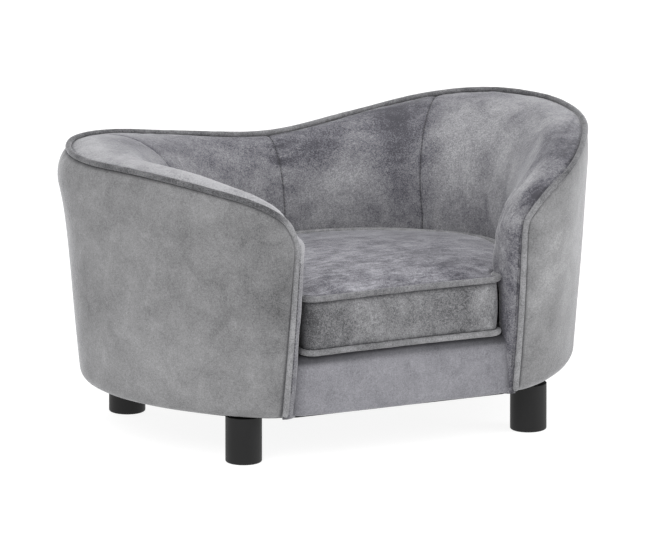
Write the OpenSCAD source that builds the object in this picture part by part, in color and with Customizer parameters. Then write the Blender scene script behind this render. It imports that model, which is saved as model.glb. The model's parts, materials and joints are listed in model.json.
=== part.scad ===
// A small tub sofa for a dog. A padded wall with high wings wraps a loose box cushion, and a
// boarded base under it stands on four round feet. Lengths are millimetres. The origin is on
// the floor under the middle of the sofa, with +Y to its back, -Y to its open front and +Z up.

/* [Shell] */
// Width across the wings, on the line of the edge welt
shell_w = 688; // [640:4:740]
// Depth on the line of the edge welt, from the arm tips to the back
shell_d = 478; // [460:2:510]
// Height of the welt line along the wings
wing_h = 380; // [362:1:415]
// Height of the welt line at the middle of the back
back_h = 333; // [318:1:355]
// Height at which the welt line turns down the arm tips
tip_h = 300; // [285:1:320]
// How far the arm tips lean out past the front rail
tip_lean = 43; // [35:1:52]
// How far each side leans out from the base to the welt line
side_lean = 15; // [5:1:24]
// How far the back leans out from the base to the welt line
back_lean = 19; // [10:1:26]
// Radius of the lower edge, where the cover turns under
edge_r = 18; // [12:1:22]
// How far the cover laps under the base past that edge
edge_lap = 4; // [2:1:5]
// How far the outer panels bow out halfway up
belly = 4; // [0:1:10]
// How far the padding stands up over the straight roll at the wings
crown = 25; // [10:1:32]
// Diameter of the welt along the shell's edge
welt_d = 11; // [8:0.5:13]

/* [Seat] */
// Thickness of a side wall at the base, where the seat is widest
side_wall_t = 104; // [94:1:114]
// Depth of the seat from its widest line to the back wall
seat_back_d = 188; // [176:1:200]
// Depth of an arm tip, from the front rail's face back to the seat
arm_tip_t = 25; // [22:1:30]
// Thickness of the back wall at the seat
back_wall_t = 47; // [44:1:56]
// How far the padding of an arm tip laps in front of the seat
arm_lap = 69; // [60:1:80]

/* [Layers] */
// Thickness of the cover cloth
skin_t = 2; // [1.5:0.1:3]
// Thickness of the bent outer boards
board_t = 4; // [3:0.5:5]
// Thickness of the wall padding
pad_t = 28; // [20:1:30]
// Thickness of the pads on the arm tips
facing_t = 8; // [5:1:10]
// Thickness of the ribs inside the wall
rib_t = 15; // [10:1:20]
// Thickness of the bent rail under the top padding
top_rail_t = 9; // [6:1:12]
// Height of that rail
top_rail_h = 30; // [20:1:40]
// Least width of a rib, where the wall is thinnest
rib_least_w = 10; // [6:1:12]
// Room between a rib and the board and padding that it carries
rib_play = 1.2; // [0.8:0.1:2]
// Gap kept between pieces that lie side by side
gap = 0.3; // [0.2:0.05:0.5]

/* [Base] */
// Height of the deck's upper face over the floor
deck_z = 143; // [136:1:150]
// Thickness of the seat deck
deck_t = 9; // [6:1:12]
// Thickness of the base board
base_t = 12; // [9:1:15]
// Thickness of the upright rails
rail_t = 18; // [15:1:22]
// Thickness of the padding on the front rail
rail_pad_t = 8; // [4:1:12]
// Thickness of the dust cover
dust_t = 1; // [0.5:0.1:1.5]
// Length of the deck screws
deck_screw_l = 30; // [20:1:40]
// Diameter of the deck screws
deck_screw_d = 4; // [3:0.5:5]
// Width of a staple in the dust cover
staple_w = 10; // [8:0.5:13]
// Thickness of the staple wire
staple_t = 0.8; // [0.5:0.1:1.2]

/* [Cushion] */
// Height of the cushion between the middles of its two welts
cushion_side_h = 72; // [60:1:80]
// How far the cushion's top swells over its welt
cushion_crown = 15; // [8:1:20]
// How far the cushion's sides are drawn in between their welts
cushion_draw = 4; // [2:1:6]
// How far the cushion stands out past the front rail
cushion_overhang = 9; // [4:1:14]
// Radius of the cushion's front corners
cushion_corner_r = 16; // [12:1:24]
// Diameter of the cushion's welts
cushion_welt_d = 9; // [7:0.5:10]
// Room between the cushion and the wall
cushion_play = 3; // [2:0.5:6]

/* [Zip] */
// Height of the zip tape
zip_h = 24; // [18:1:30]
// Thickness of the zip tape
zip_t = 1; // [0.8:0.1:1.4]
// Half of the angle that the zip spans at the back of the cushion
zip_half_angle = 22; // [15:1:24]
// Length of the slider
slider_l = 12; // [9:1:16]
// Height of the slider
slider_h = 9; // [7:1:12]
// Thickness of the slider
slider_t = 3; // [2:0.5:4]

/* [Feet] */
// Diameter of a foot
foot_d = 48; // [40:1:52]
// Height of a foot
foot_h = 62; // [50:1:75]
// Chamfer round the bottom of a foot
foot_chamfer = 2; // [1:0.5:4]
// How far the middles of the front feet stand in from the base's sides
front_feet_side_in = 124; // [121:1:134]
// How far the front feet stand behind the front rail's face
front_feet_in = 52; // [50:1:60]
// How far the middles of the rear feet stand in from the base's sides
rear_feet_side_in = 95; // [92:1:109]
// How far the rear feet stand in from the back of the base
rear_feet_in = 58; // [54:1:70]
// Diameter of the stud that holds a foot
stud_d = 8; // [6:1:10]
// Length of that stud
stud_l = 44; // [36:1:50]
// Diameter of the flange of the nut over the base board
nut_flange_d = 18; // [16:0.5:19]
// Thickness of that flange
nut_flange_t = 1.5; // [1:0.25:2]

/* [Hidden] */

// Colours
plush = [0.52, 0.52, 0.54];
plush_dark = [0.45, 0.45, 0.48];
foam_colour = [0.93, 0.89, 0.74];
wood = [0.78, 0.63, 0.43];
hardboard = [0.47, 0.33, 0.21];
black = [0.07, 0.07, 0.07];
steel = [0.68, 0.69, 0.71];

// Heights
base_z = foot_h + dust_t + gap;
base_top_z = base_z + skin_t + gap + base_t;
cushion_z = deck_z + skin_t + gap;
cushion_welt_z = cushion_z + cushion_welt_d / 2;
cushion_top_z = cushion_welt_z + cushion_side_h;

// Plan lines
base_w = shell_w - 2 * side_lean;
base_d = shell_d - tip_lean - back_lean;
rail_y = -shell_d / 2 + tip_lean;
base_mid_y = rail_y + base_d / 2;
base_rear_y = rail_y + base_d;
seat_mid_y = base_rear_y - back_wall_t - seat_back_d;
rail_back_y = rail_y + skin_t + gap + rail_pad_t + gap;
cushion_y = rail_y - cushion_overhang;
cushion_inset = cushion_play + cushion_welt_d / 2;
seat_w = base_w - 2 * side_wall_t;
wall_end_x = seat_w / 2 - arm_lap;
mouth_w = 2 * (wall_end_x - facing_t);
front_feet_x = base_w / 2 - front_feet_side_in;
rear_feet_x = base_w / 2 - rear_feet_side_in;
// Half depth of the curve that the seat follows in front of its widest line, so that it ends
// behind the arm tips
seat_front_d = (seat_mid_y - rail_y - arm_tip_t) / sqrt(1 - pow(2 * wall_end_x / seat_w, 2));

// The welt line in plan, from the middle of the back round the wing to the arm tip, as
// shares of half the shell's width and depth
welt_line_shares = [[0, 0.96], [0.36, 0.995], [0.65, 0.95], [0.86, 0.76], [0.98, 0.44],
    [1, 0.11], [0.925, -0.30], [0.79, -0.68], [0.65, -0.94], [0.54, -0.99], [0.48, -0.93]];
// The base's outer line at the same stations, as shares of half its width and depth
base_line_shares = [[0, 1], [0.365, 0.99], [0.65, 0.93], [0.85, 0.74], [0.97, 0.41],
    [1, 0.09], [0.94, -0.30], [0.82, -0.63], [0.68, -0.865], [0.57, -0.975], [0.52, -1]];
// How much of the climb from the back's height to the wings' is made at each station
rise_shares = [0, 0.25, 0.6, 0.83, 0.92, 0.94, 1, 1, 1, 1, 1];
// How much of the fall from the wings' height to the arm tips' is made there
fall_shares = [0, 0, 0, 0, 0, 0, 0, 0.08, 0.24, 0.55, 1];
// How far round the seat's curve each station lies
turn_shares = [0, 0.15, 0.27, 0.4, 0.53, 0.65, 0.76, 0.855, 0.92, 0.967, 1];
// How much of the crown the padding has there
crown_shares = [0, 0.1, 0.4, 0.8, 1, 1, 1, 1, 0.8, 0.5, 0.35];
// How much of the height between the welt line and the cushion the roll takes
roll_share = 0.9;

// Stations run from the left arm tip, 0, past the middle of the back to the right arm tip
mid = len(turn_shares) - 1;
last = 2 * mid;
seam_share = 0.25;
left_seam = mid * (1 - seam_share);
right_seam = mid * (1 + seam_share);

function unit(v) = v / norm(v);
function flat(list) = [for (row = list) each row];
function reversed(list) = [for (i = [len(list) - 1:-1:0]) list[i]];
function even(list) = concat([for (i = [mid:-1:1]) list[i]], list);
function odd(list) = concat([for (i = [mid:-1:1]) -list[i]], list);
function paired(list) = concat([for (i = [mid:-1:1]) [-list[i][0], list[i][1]]], list);
function mirrored(list) = concat(list, [for (q = reversed(list)) [-q[0], q[1]]]);
function pick(list, i) = list[max(0, min(len(list) - 1, i))];

// A smooth curve through the values of a list
function smooth(list, s) =
    let (i = max(0, min(floor(s), len(list) - 2)), f = s - i,
        a = pick(list, i - 1), b = pick(list, i), c = pick(list, i + 1), d = pick(list, i + 2))
    b + f * (c - a) / 2 + f * f * (2 * a - 5 * b + 4 * c - d) / 2
    + f * f * f * (3 * (b - c) + d - a) / 2;

welt_line = paired(welt_line_shares);
base_line = paired(base_line_shares);
rises = even(rise_shares);
falls = even(fall_shares);
turns = odd(turn_shares);
crowns = even(crown_shares);

// The welt line, the base line and the seat line at a station
function welt_z(s) = back_h + (wing_h - back_h) * smooth(rises, s)
    - (wing_h - tip_h) * smooth(falls, s);
function welt_at(s) = let (q = smooth(welt_line, s))
    [q[0] * shell_w / 2, q[1] * shell_d / 2, welt_z(s)];
function base_at(s) = let (q = smooth(base_line, s))
    [q[0] * base_w / 2, base_mid_y + q[1] * base_d / 2, base_z];
function seat_curve(turn, inset) = let (d = cos(turn) > 0 ? seat_back_d : seat_front_d)
    [(seat_w / 2 - inset) * sin(turn), seat_mid_y + (d - inset) * cos(turn)];
function end_turn(x, inset) = 180 - asin(x / (seat_w / 2 - inset));
wall_turn = end_turn(wall_end_x, 0);
function seat_at(s) = seat_curve(wall_turn * smooth(turns, s), 0);

// The direction from the welt to the seat in plan, and the height of the padded roll
function inward(s) = let (w = welt_at(s), q = seat_at(s)) unit([q[0] - w[0], q[1] - w[1], 0]);
function roll_h(s) = roll_share * (welt_z(s) - cushion_top_z);

// A point of the outer wall, deep from its face and at a height over the floor
function wall_point(s, deep, z) =
    let (b = base_at(s), w = welt_at(s), v = (z - base_z) / (w[2] - base_z), q = b + v * (w - b))
    [q[0], q[1], z] + (deep - belly * sin(180 * max(0, min(1, v)))) * inward(s);

// A point of the padded roll from the welt, 0 degrees, to the seat wall, 90 degrees
function roll_point(s, angle, deep, start) =
    let (z = welt_z(s) + (roll_h(s) - deep) * cos(angle) - roll_h(s)
            + crown * smooth(crowns, s) * sin(2 * angle),
        from = wall_point(s, angle > 0 ? 0 : start, welt_z(s) - deep), to = seat_point(s, deep, z),
        q = from + (to - from) * sin(angle))
    [q[0], q[1], z];

// A point of the seat wall under the roll, deep from its face towards the outer wall
function seat_point(s, deep, z) =
    let (q = seat_at(s), w = wall_point(s, 0, z), n = unit([w[0] - q[0], w[1] - q[1]]))
    [q[0] + n[0] * deep, q[1] + n[1] * deep, z];

// Depth of the wall at a height, and how deep its lining may reach there in front of the ribs
function wall_depth(s, z) = norm(wall_point(s, 0, z) - seat_point(s, 0, z));
function fitted(s, deep, z) = min(deep, wall_depth(s, z) - cavity_deep - rib_least_w - rib_play);

// Closed solid between two grids of the same size: a is the face seen, b lies behind it
module shell(a, b) {
    n = len(a);
    m = len(a[0]);
    k = n * m;
    points = concat(flat(a), flat(b));
    sides = [for (i = [0:n - 2], j = [0:m - 2])
        let (p = i * m + j, q = p + m)
        each [[p, q, q + 1], [p, q + 1, p + 1], [k + p, k + q + 1, k + q], [k + p, k + p + 1, k + q + 1]]];
    ends = [for (j = [0:m - 2])
        let (p = j, q = (n - 1) * m + j)
        each [[p, p + 1, k + p + 1], [p, k + p + 1, k + p],
            [q + 1, q, k + q + 1], [q, k + q, k + q + 1]]];
    rims = [for (i = [0:n - 2])
        let (p = i * m, q = p + m, r = p + m - 1, t = q + m - 1)
        each [[p, k + p, k + q], [p, k + q, q], [r, t, k + t], [r, k + t, k + r]]];
    polyhedron(points, concat(sides, ends, rims), convexity = 6);
}

// Closed solid between two rings' stacks that both run all the way round
module ring_shell(a, b) {
    n = len(a);
    m = len(a[0]);
    k = n * m;
    points = concat(flat(a), flat(b));
    function at(i, j) = (i % n) * m + j;
    sides = [for (i = [0:n - 1], j = [0:m - 2])
        let (p = at(i, j), q = at(i + 1, j))
        each [[p, q, q + 1], [p, q + 1, p + 1], [k + p, k + q + 1, k + q], [k + p, k + p + 1, k + q + 1]]];
    rims = [for (i = [0:n - 1])
        let (p = at(i, 0), q = at(i + 1, 0), r = p + m - 1, t = q + m - 1)
        each [[p, k + p, k + q], [p, k + q, q], [r, t, k + t], [r, k + t, k + r]]];
    polyhedron(points, concat(sides, rims), convexity = 6);
}

// Closed solid through a stack of rings, with a middle point at each end
module stack(rings, low, high) {
    n = len(rings);
    m = len(rings[0]);
    k = n * m;
    points = concat(flat(rings), [low, high]);
    sides = [for (i = [0:n - 2], j = [0:m - 1])
        let (p = i * m + j, q = i * m + (j + 1) % m)
        each [[p, q + m, p + m], [p, q, q + m]]];
    ends = [for (j = [0:m - 1])
        let (p = j, q = (j + 1) % m)
        each [[k, q, p], [k + 1, (n - 1) * m + p, (n - 1) * m + q]]];
    polyhedron(points, concat(sides, ends), convexity = 4);
}

// Tube along a path, its rings turned by a side direction at each point
function tube_ring(path, i, side, r, sides) =
    let (t = unit(pick(path, i + 1) - pick(path, i - 1)), x = unit(cross(t, side)), y = cross(x, t))
    [for (k = [0:sides - 1]) path[i] + r * (x * cos(k * 360 / sides) + y * sin(k * 360 / sides))];
module tube(path, dirs, r, sides) {
    stack([for (i = [0:len(path) - 1]) tube_ring(path, i, dirs[i], r, sides)],
        path[0], path[len(path) - 1]);
}
function eased(list) = [for (i = [0:len(list) - 1])
    unit(pick(list, i - 1) + 2 * list[i] + pick(list, i + 1))];

// Places from one station to another, with so many steps to a station
wall_steps = 2;
one_step = 1 / wall_steps;
function stations(from, to) =
    let (n = ceil((to - from) * wall_steps)) [for (i = [0:n]) from + (to - from) * i / n];

// The outer cover, from its lap under the base to the welt
cover_rows = 5;
function cover_column(s, deep) =
    let (top = welt_z(s) - skin_t - gap, low = base_z + edge_r)
    concat([wall_point(s, edge_r + edge_lap, base_z + deep)],
        [for (a = [90:-45:0])
            wall_point(s, edge_r - (edge_r - deep) * cos(a), low - (edge_r - deep) * sin(a))],
        [for (k = [1:cover_rows]) wall_point(s, deep, low + (top - low) * k / cover_rows)]);
module outer_cover() color(plush)
    shell([for (s = stations(0, last)) cover_column(s, 0)],
        [for (s = stations(0, last)) cover_column(s, skin_t)]);

// Padding and inner covers run from the welt over the roll and down to the base board
roll_angles = [0, 16, 32, 48, 63, 78, 90];
function lining_column(s, deep, start) =
    concat([for (a = roll_angles) roll_point(s, a, deep, start)],
        [for (z = [cushion_z, base_top_z + gap]) seat_point(s, fitted(s, deep, z), z)]);
module lining(from, to, deep, thick, start, end) {
    places = [for (s = stations(from, to)) max(end, min(last - end, s))];
    shell([for (s = places) lining_column(s, deep, start)],
        [for (s = places) lining_column(s, deep + thick, start)]);
}
padding_end_share = 0.008;
padding_start = skin_t + 3 * gap;
padding_deep = skin_t + 2 * gap;
padding_end = mid * padding_end_share;
lining_deep = padding_deep + pad_t;
module inner_cover(from, to) color(plush) lining(from, to, 0, skin_t, 0, 0);
module padding(from, to) color(foam_colour)
    lining(from, to, padding_deep, pad_t, padding_start, padding_end);

// Pads on the arm tips, between the outer cover's front edge and the seat wall
facing_columns = 4;
facing_wall_share = 0.55;
facing_turn = 84;
function facing_dir(s) = let (n = inward(s)) (s < mid ? 1 : -1) * [n[1], -n[0], 0];
function facing_edge(s, t) = wall_point(s, 0, base_z + t * (welt_z(s) - base_z));
function facing_inner(s, t) =
    t < facing_wall_share
    ? seat_point(s, 0, base_z + t / facing_wall_share * (welt_z(s) - roll_h(s) - base_z))
    : roll_point(s, 90 - facing_turn * (t - facing_wall_share) / (1 - facing_wall_share), 0, 0);
function facing_grid(s, out, swell) =
    [for (i = [0:facing_columns]) [for (t = [0:0.1:1])
        let (f = i / facing_columns)
        facing_edge(s, t) * (1 - f) + facing_inner(s, t) * f
        + facing_dir(s) * (out + swell * sin(180 * f))]];
facing_swell = facing_t / 3;
module arm_facing(s) color(plush) {
    seen = facing_grid(s, facing_t - facing_swell, facing_swell);
    back = facing_grid(s, gap, 0);
    if (s < mid) shell(reversed(seen), reversed(back));
    else shell(seen, back);
}

// Welt along the shell's edge, up one arm tip, round the top and down the other. It leans away
// from the roll, which swells beside it.
roll_weight = 2;
function top_dir(s) = -unit(unit(wall_point(s, 0, welt_z(s) - welt_d) - welt_at(s))
    + roll_weight * unit(roll_point(s, roll_angles[1], 0, 0) - welt_at(s)));
function tip_dir(s, z) = let (near = s < mid ? s + one_step : s - one_step)
    -unit(unit(wall_point(near, 0, z) - wall_point(s, 0, z)) + inward(s));
tip_heights = [for (k = [0:5]) base_z + (tip_h - welt_d - base_z) * k / 5];
top_places = stations(0, last);
facing_rim = facing_t - facing_swell;
welt_seams = concat([for (z = tip_heights) wall_point(0, 0, z) + facing_dir(0) * facing_rim],
    [for (s = top_places) welt_at(s)],
    [for (z = reversed(tip_heights)) wall_point(last, 0, z) + facing_dir(last) * facing_rim]);
welt_dirs = eased(eased(eased(concat([for (z = tip_heights) tip_dir(0, z)],
    [for (s = top_places) top_dir(s)], [for (z = reversed(tip_heights)) tip_dir(last, z)]))));
welt_play = 4 * gap;
module shell_welt() color(plush_dark)
    tube([for (i = [0:len(welt_seams) - 1]) welt_seams[i] + welt_dirs[i] * (welt_d / 2 + welt_play)],
        welt_dirs, welt_d / 2, 8);

// Bent boards behind the outer cover
board_rows = 4;
board_deep = skin_t + 2 * gap;
cavity_deep = board_deep + board_t + rib_play;
function board_column(s, deep) =
    let (low = base_z + edge_r, top = welt_z(s) - lining_deep - board_t)
    [for (k = [0:board_rows]) wall_point(s, deep, low + (top - low) * k / board_rows)];
module outer_board(from, to) color(hardboard)
    shell([for (s = stations(from, to)) board_column(s, board_deep)],
        [for (s = stations(from, to)) board_column(s, board_deep + board_t)]);

// Ribs stand on the base board between the outer board and the padding
rib_top_drop = 48;
function rib_top(s) = welt_z(s) - rib_top_drop - top_rail_h - rib_play;
function rib_front(s, k) =
    let (z = base_top_z + (rib_top(s) - base_top_z) * k,
        a = floor(s * wall_steps) / wall_steps, f = (s - a) * wall_steps)
    wall_point(a, cavity_deep, z) * (1 - f) + wall_point(a + one_step, cavity_deep, z) * f;
function rib_back(s, k) =
    let (z = base_top_z + (rib_top(s) - base_top_z) * k,
        rise = (z - welt_z(s) + roll_h(s)) / (roll_h(s) - lining_deep),
        room = wall_depth(s, welt_z(s) - lining_deep) - padding_start,
        under = room - (room - lining_deep) * sqrt(1 - pow(min(1, max(0, rise)), 2)))
    seat_point(s, (rise > 0 ? under : fitted(s, lining_deep, z)) + rib_play, z);
rib_rows = 8;
module rib(s) color(wood) {
    run = norm(base_at(s + one_step) - base_at(s - one_step)) / 2 * wall_steps;
    half = rib_t / run / 2;
    places = [s - half, s + half];
    shell([for (p = places) [for (k = [rib_rows:-1:0]) rib_back(p, k / rib_rows)]],
        [for (p = places) [for (k = [rib_rows:-1:0]) rib_front(p, k / rib_rows)]]);
}
// Places of the ribs, as shares of the way from an arm tip to the middle of the back
post_share = 0.075;
side_share = 0.45;
corner_share = 0.72;
module rib_pair(share) for (k = [share, 2 - share]) rib(mid * k);

// Bent rail that ties the tops of the ribs together under the padding
top_rail_deep = board_deep + board_t + 2 * gap;
function top_rail_column(s, deep) = let (z = welt_z(s) - rib_top_drop)
    [wall_point(s, deep, z - top_rail_h), wall_point(s, deep, z)];
module top_rail() color(wood) {
    places = stations(one_step, last - one_step);
    shell([for (s = places) top_rail_column(s, top_rail_deep)],
        [for (s = places) top_rail_column(s, top_rail_deep + top_rail_t)]);
}

// Base board and its feet
base_inset = edge_r + gap;
foot_places = [for (y = [rail_y + front_feet_in, base_rear_y - rear_feet_in], side = [-1, 1])
    [side * (y < 0 ? front_feet_x : rear_feet_x), y]];
nut_wall = 1;
nut_barrel_d = stud_d + 2 * nut_wall;
bolt_play = 0.2;
function base_outline(inset) = [for (s = stations(0, last))
    let (q = base_at(s) + inward(s) * inset) [q[0], q[1]]];
// Between the arm tips the board passes behind their pads and then runs out to the front rail
arm_end = seat_at(last);
mouth_x = mouth_w / 2 - gap;
base_front = mirrored([[arm_end[0] + gap, arm_end[1] + gap], [mouth_x, arm_end[1] + gap],
    [mouth_x, rail_back_y]]);
module base_board() color(wood) difference() {
    translate([0, 0, base_z + skin_t + gap]) linear_extrude(base_t)
        polygon(concat(base_outline(base_inset), base_front));
    for (p = foot_places) translate([p[0], p[1], base_z]) {
        cylinder(d = nut_barrel_d + bolt_play, h = base_t * 2, $fn = 32);
        translate([0, 0, base_top_z - base_z - nut_flange_t - gap / 2])
            cylinder(d = nut_flange_d + bolt_play, h = base_t, $fn = 32);
    }
}
module foot(p) color(black) translate([p[0], p[1], 0]) difference() {
    rotate_extrude($fn = 64) polygon([[0, 0], [foot_d / 2 - foot_chamfer, 0], [foot_d / 2, foot_chamfer],
        [foot_d / 2, foot_h], [0, foot_h]]);
    translate([0, 0, base_top_z - stud_l - gap]) cylinder(d = stud_d + bolt_play, h = stud_l, $fn = 32);
}
module foot_studs() color(steel) for (p = foot_places)
    translate([p[0], p[1], base_top_z - stud_l]) cylinder(d = stud_d, h = stud_l - gap, $fn = 32);
module foot_nuts() color(steel) for (p = foot_places)
    translate([p[0], p[1], base_top_z - nut_flange_t]) difference() {
        union() {
            cylinder(d = nut_flange_d, h = nut_flange_t, $fn = 32);
            translate([0, 0, nut_flange_t - base_t + gap])
                cylinder(d = nut_barrel_d, h = base_t - nut_flange_t, $fn = 32);
        }
        translate([0, 0, -base_t]) cylinder(d = stud_d + bolt_play, h = base_t * 2, $fn = 32);
    }

// Dust cover under the base, with its staples
dust_inset = edge_r;
module dust_cover() color(black) difference() {
    translate([0, 0, foot_h]) linear_extrude(dust_t)
        polygon(concat(base_outline(dust_inset), mirrored([[mouth_x, rail_back_y]])));
    for (p = foot_places) translate([p[0], p[1], 0])
        cylinder(d = stud_d + 2 * bolt_play, h = base_z, $fn = 32);
}
staple_leg = 8;
staple_inset = dust_inset + edge_lap + staple_w;
staple_share = 0.11;
module staple() {
    translate([-staple_w / 2, -staple_t / 2, foot_h - staple_t]) cube([staple_w, staple_t, staple_t]);
    for (x = [-staple_w / 2, staple_w / 2 - staple_t]) translate([x, -staple_t / 2, foot_h - staple_t])
        cube([staple_t, staple_t, staple_leg]);
}
module dust_cover_staples() color(steel) for (k = [1:(2 - staple_share) / staple_share]) {
    s = mid * staple_share * k;
    n = inward(s);
    q = base_at(s) + n * staple_inset;
    off_feet = min([for (p = foot_places) norm([q[0], q[1]] - p)]) - foot_d / 2 - staple_w;
    if (off_feet > 0) translate([q[0], q[1], 0]) rotate([0, 0, atan2(n[1], n[0]) + 90]) staple();
}

// Rails and deck under the cushion
rail_h = deck_z - deck_t - base_top_z;
function facing_x(y, z) = let (e = facing_edge(last, (z - base_z) / (tip_h - base_z)),
        i = seat_point(last, 0, z), f = (y - e[1]) / (i[1] - e[1]))
    e[0] + (i[0] - e[0]) * f - facing_t - gap;
rail_end_x = min(facing_x(rail_y, deck_z), facing_x(rail_y, base_z));
rail_end_back_x = min(rail_end_x, mouth_x);
deck_inset = 4 * gap;
module screw_holes(d, h) for (x = [-1, 0, 1], y = [rail_back_y + rail_t / 2, rear_rail_y + rail_t / 2])
    translate([x * rear_rail_l / 3, y, deck_z - h]) cylinder(d = d, h = h, $fn = 24);
rear_rail_l = seat_w / 2;
rear_rail_share = 0.66;
rear_rail_y = seat_mid_y + seat_back_d * rear_rail_share;
module front_rail() color(wood) difference() {
    translate([-mouth_x, rail_back_y, base_top_z]) cube([2 * mouth_x, rail_t, rail_h]);
    screw_holes(deck_screw_d + bolt_play, deck_screw_l + gap);
}
module rear_rail() color(wood) difference() {
    translate([-rear_rail_l / 2, rear_rail_y, base_top_z]) cube([rear_rail_l, rail_t, rail_h]);
    screw_holes(deck_screw_d + bolt_play, deck_screw_l + gap);
}
side_rail_share = 0.4;
side_rail_x = seat_w * side_rail_share;
side_rail_l = seat_w / 4;
module side_rails() color(wood) for (side = [-1, 1])
    translate([side * side_rail_x - rail_t / 2, seat_mid_y - side_rail_l / 2, base_top_z])
        cube([rail_t, side_rail_l, rail_h]);
deck_steps = 32;
function seat_outline(inset) = let (t = end_turn(wall_end_x, inset))
    [for (k = [-deck_steps / 2:deck_steps / 2]) seat_curve(t * k / (deck_steps / 2), inset)];
module deck_plan() polygon(concat(seat_outline(deck_inset),
    mirrored([[mouth_x, arm_end[1] + gap], [mouth_x, rail_back_y]])));
module seat_deck() color(wood) difference() {
    translate([0, 0, deck_z - deck_t]) linear_extrude(deck_t) deck_plan();
    screw_holes(deck_screw_d + bolt_play, deck_screw_l);
    screw_heads(bolt_play);
}
screw_head_d = 2 * deck_screw_d;
module screw_heads(extra) for (x = [-1, 0, 1], y = [rail_back_y + rail_t / 2, rear_rail_y + rail_t / 2])
    translate([x * rear_rail_l / 3, y, deck_z - deck_screw_d / 2])
        cylinder(d1 = deck_screw_d + extra, d2 = screw_head_d + extra, h = deck_screw_d / 2, $fn = 24);
module deck_screws() color(steel) {
    screw_holes(deck_screw_d, deck_screw_l);
    screw_heads(0);
}

// Cloth over the deck, behind the flap of the front rail's cover
rail_flap = 40;
module deck_cover() color(black) translate([0, 0, deck_z]) linear_extrude(skin_t) intersection() {
    deck_plan();
    translate([-seat_w / 2, rail_y + skin_t + rail_flap + gap]) square([seat_w, base_d]);
}

// Padding and cover of the front rail
rail_lap = 14;
module rail_plan(from, deep) polygon([[-rail_end_x + gap, rail_y + from], [rail_end_x - gap, rail_y + from],
    [rail_end_back_x, rail_y + from + deep], [-rail_end_back_x, rail_y + from + deep]]);
module front_rail_pad() color(foam_colour) translate([0, 0, base_z + skin_t + gap])
    linear_extrude(deck_z - base_z - skin_t - gap) rail_plan(skin_t + gap, rail_pad_t);
module front_rail_cover() color(plush) {
    translate([0, 0, base_z]) linear_extrude(deck_z + skin_t - base_z) rail_plan(0, skin_t);
    translate([-rail_end_back_x, rail_y + skin_t, base_z]) cube([2 * rail_end_back_x, rail_lap, skin_t]);
    translate([-rail_end_back_x, rail_y + skin_t, deck_z]) cube([2 * rail_end_back_x, rail_flap, skin_t]);
}

// Cushion, with the same outline as the seat
corner_steps = 4;
front_steps = 8;
rear_steps = 36;
front_draw = 3;
function cushion_outline(inset) =
    let (e = inset - cushion_inset, x = mouth_w / 2 - inset, t = end_turn(x, inset),
        r = cushion_corner_r - e, y = cushion_y + cushion_welt_d / 2 + e, w = x - r)
    concat([for (k = [-rear_steps / 2:rear_steps / 2]) seat_curve(t * k / (rear_steps / 2), inset)],
        mirrored(concat([for (k = [0:corner_steps]) let (a = 90 * k / corner_steps)
                [w + r * cos(a), y + r - r * sin(a)]],
            [for (k = [1:front_steps / 2 - 1]) let (f = 1 - 2 * k / front_steps)
                [w * f, y + front_draw * (1 - f * f)]])));
cushion_mid = [0, (seat_mid_y + seat_back_d + cushion_y) / 2];
function shrunk(ring, k) = [for (q = ring) cushion_mid + (q - cushion_mid) * k];
function raised(ring, z) = [for (q = ring) [q[0], q[1], z]];
crown_rings = [0.9, 0.7, 0.4];
function swell_z(k) = cushion_crown * (1 - k * k * k);

// Layers of the cushion, deep from the line of its welts
cushion_panel_inset = cushion_inset + cushion_welt_d / 2 + gap;
module cushion_core(deep, low, high, swell) {
    side = cushion_panel_inset + deep;
    rim = cushion_outline(side);
    waist = cushion_outline(side + cushion_draw);
    rings = concat([for (k = reversed(crown_rings)) raised(shrunk(rim, k), low)], [raised(rim, low),
        raised(waist, (low + high) / 2), raised(rim, high)],
        [for (k = crown_rings) raised(shrunk(rim, k), high + swell_z(k) * swell)]);
    stack(rings, [cushion_mid[0], cushion_mid[1], low],
        [cushion_mid[0], cushion_mid[1], high + cushion_crown * swell]);
}
foam_low_z = cushion_z + skin_t + gap;
foam_high_z = cushion_top_z - skin_t - gap;
module cushion_foam() color(foam_colour) cushion_core(skin_t + gap, foam_low_z, foam_high_z, 1);

module panel(low, high, swell) {
    rim = cushion_outline(cushion_panel_inset);
    rings = concat([rim], [for (k = crown_rings) shrunk(rim, k)]);
    rises = concat([0], [for (k = crown_rings) swell_z(k) * swell]);
    stack(concat([for (i = [len(rings) - 1:-1:0]) raised(rings[i], low + rises[i])],
        [for (i = [0:len(rings) - 1]) raised(rings[i], high + rises[i])]),
        [cushion_mid[0], cushion_mid[1], low + cushion_crown * swell],
        [cushion_mid[0], cushion_mid[1], high + cushion_crown * swell]);
}
module cushion_top_panel() color(plush) panel(cushion_top_z - skin_t, cushion_top_z, 1);
module cushion_bottom_panel() color(plush) panel(cushion_z, cushion_z + skin_t, 0);

function boxing_column(i, deep) =
    let (side = cushion_panel_inset + deep, low = foam_low_z, high = foam_high_z, rim = cushion_outline(side),
        waist = cushion_outline(side + cushion_draw))
    [[rim[i][0], rim[i][1], low], [waist[i][0], waist[i][1], (low + high) / 2],
        [rim[i][0], rim[i][1], high]];
outline_count = len(cushion_outline(cushion_inset));
module cushion_boxing() color(plush)
    ring_shell([for (i = [0:outline_count - 1]) boxing_column(i, 0)],
        [for (i = [0:outline_count - 1]) boxing_column(i, skin_t)]);

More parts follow.
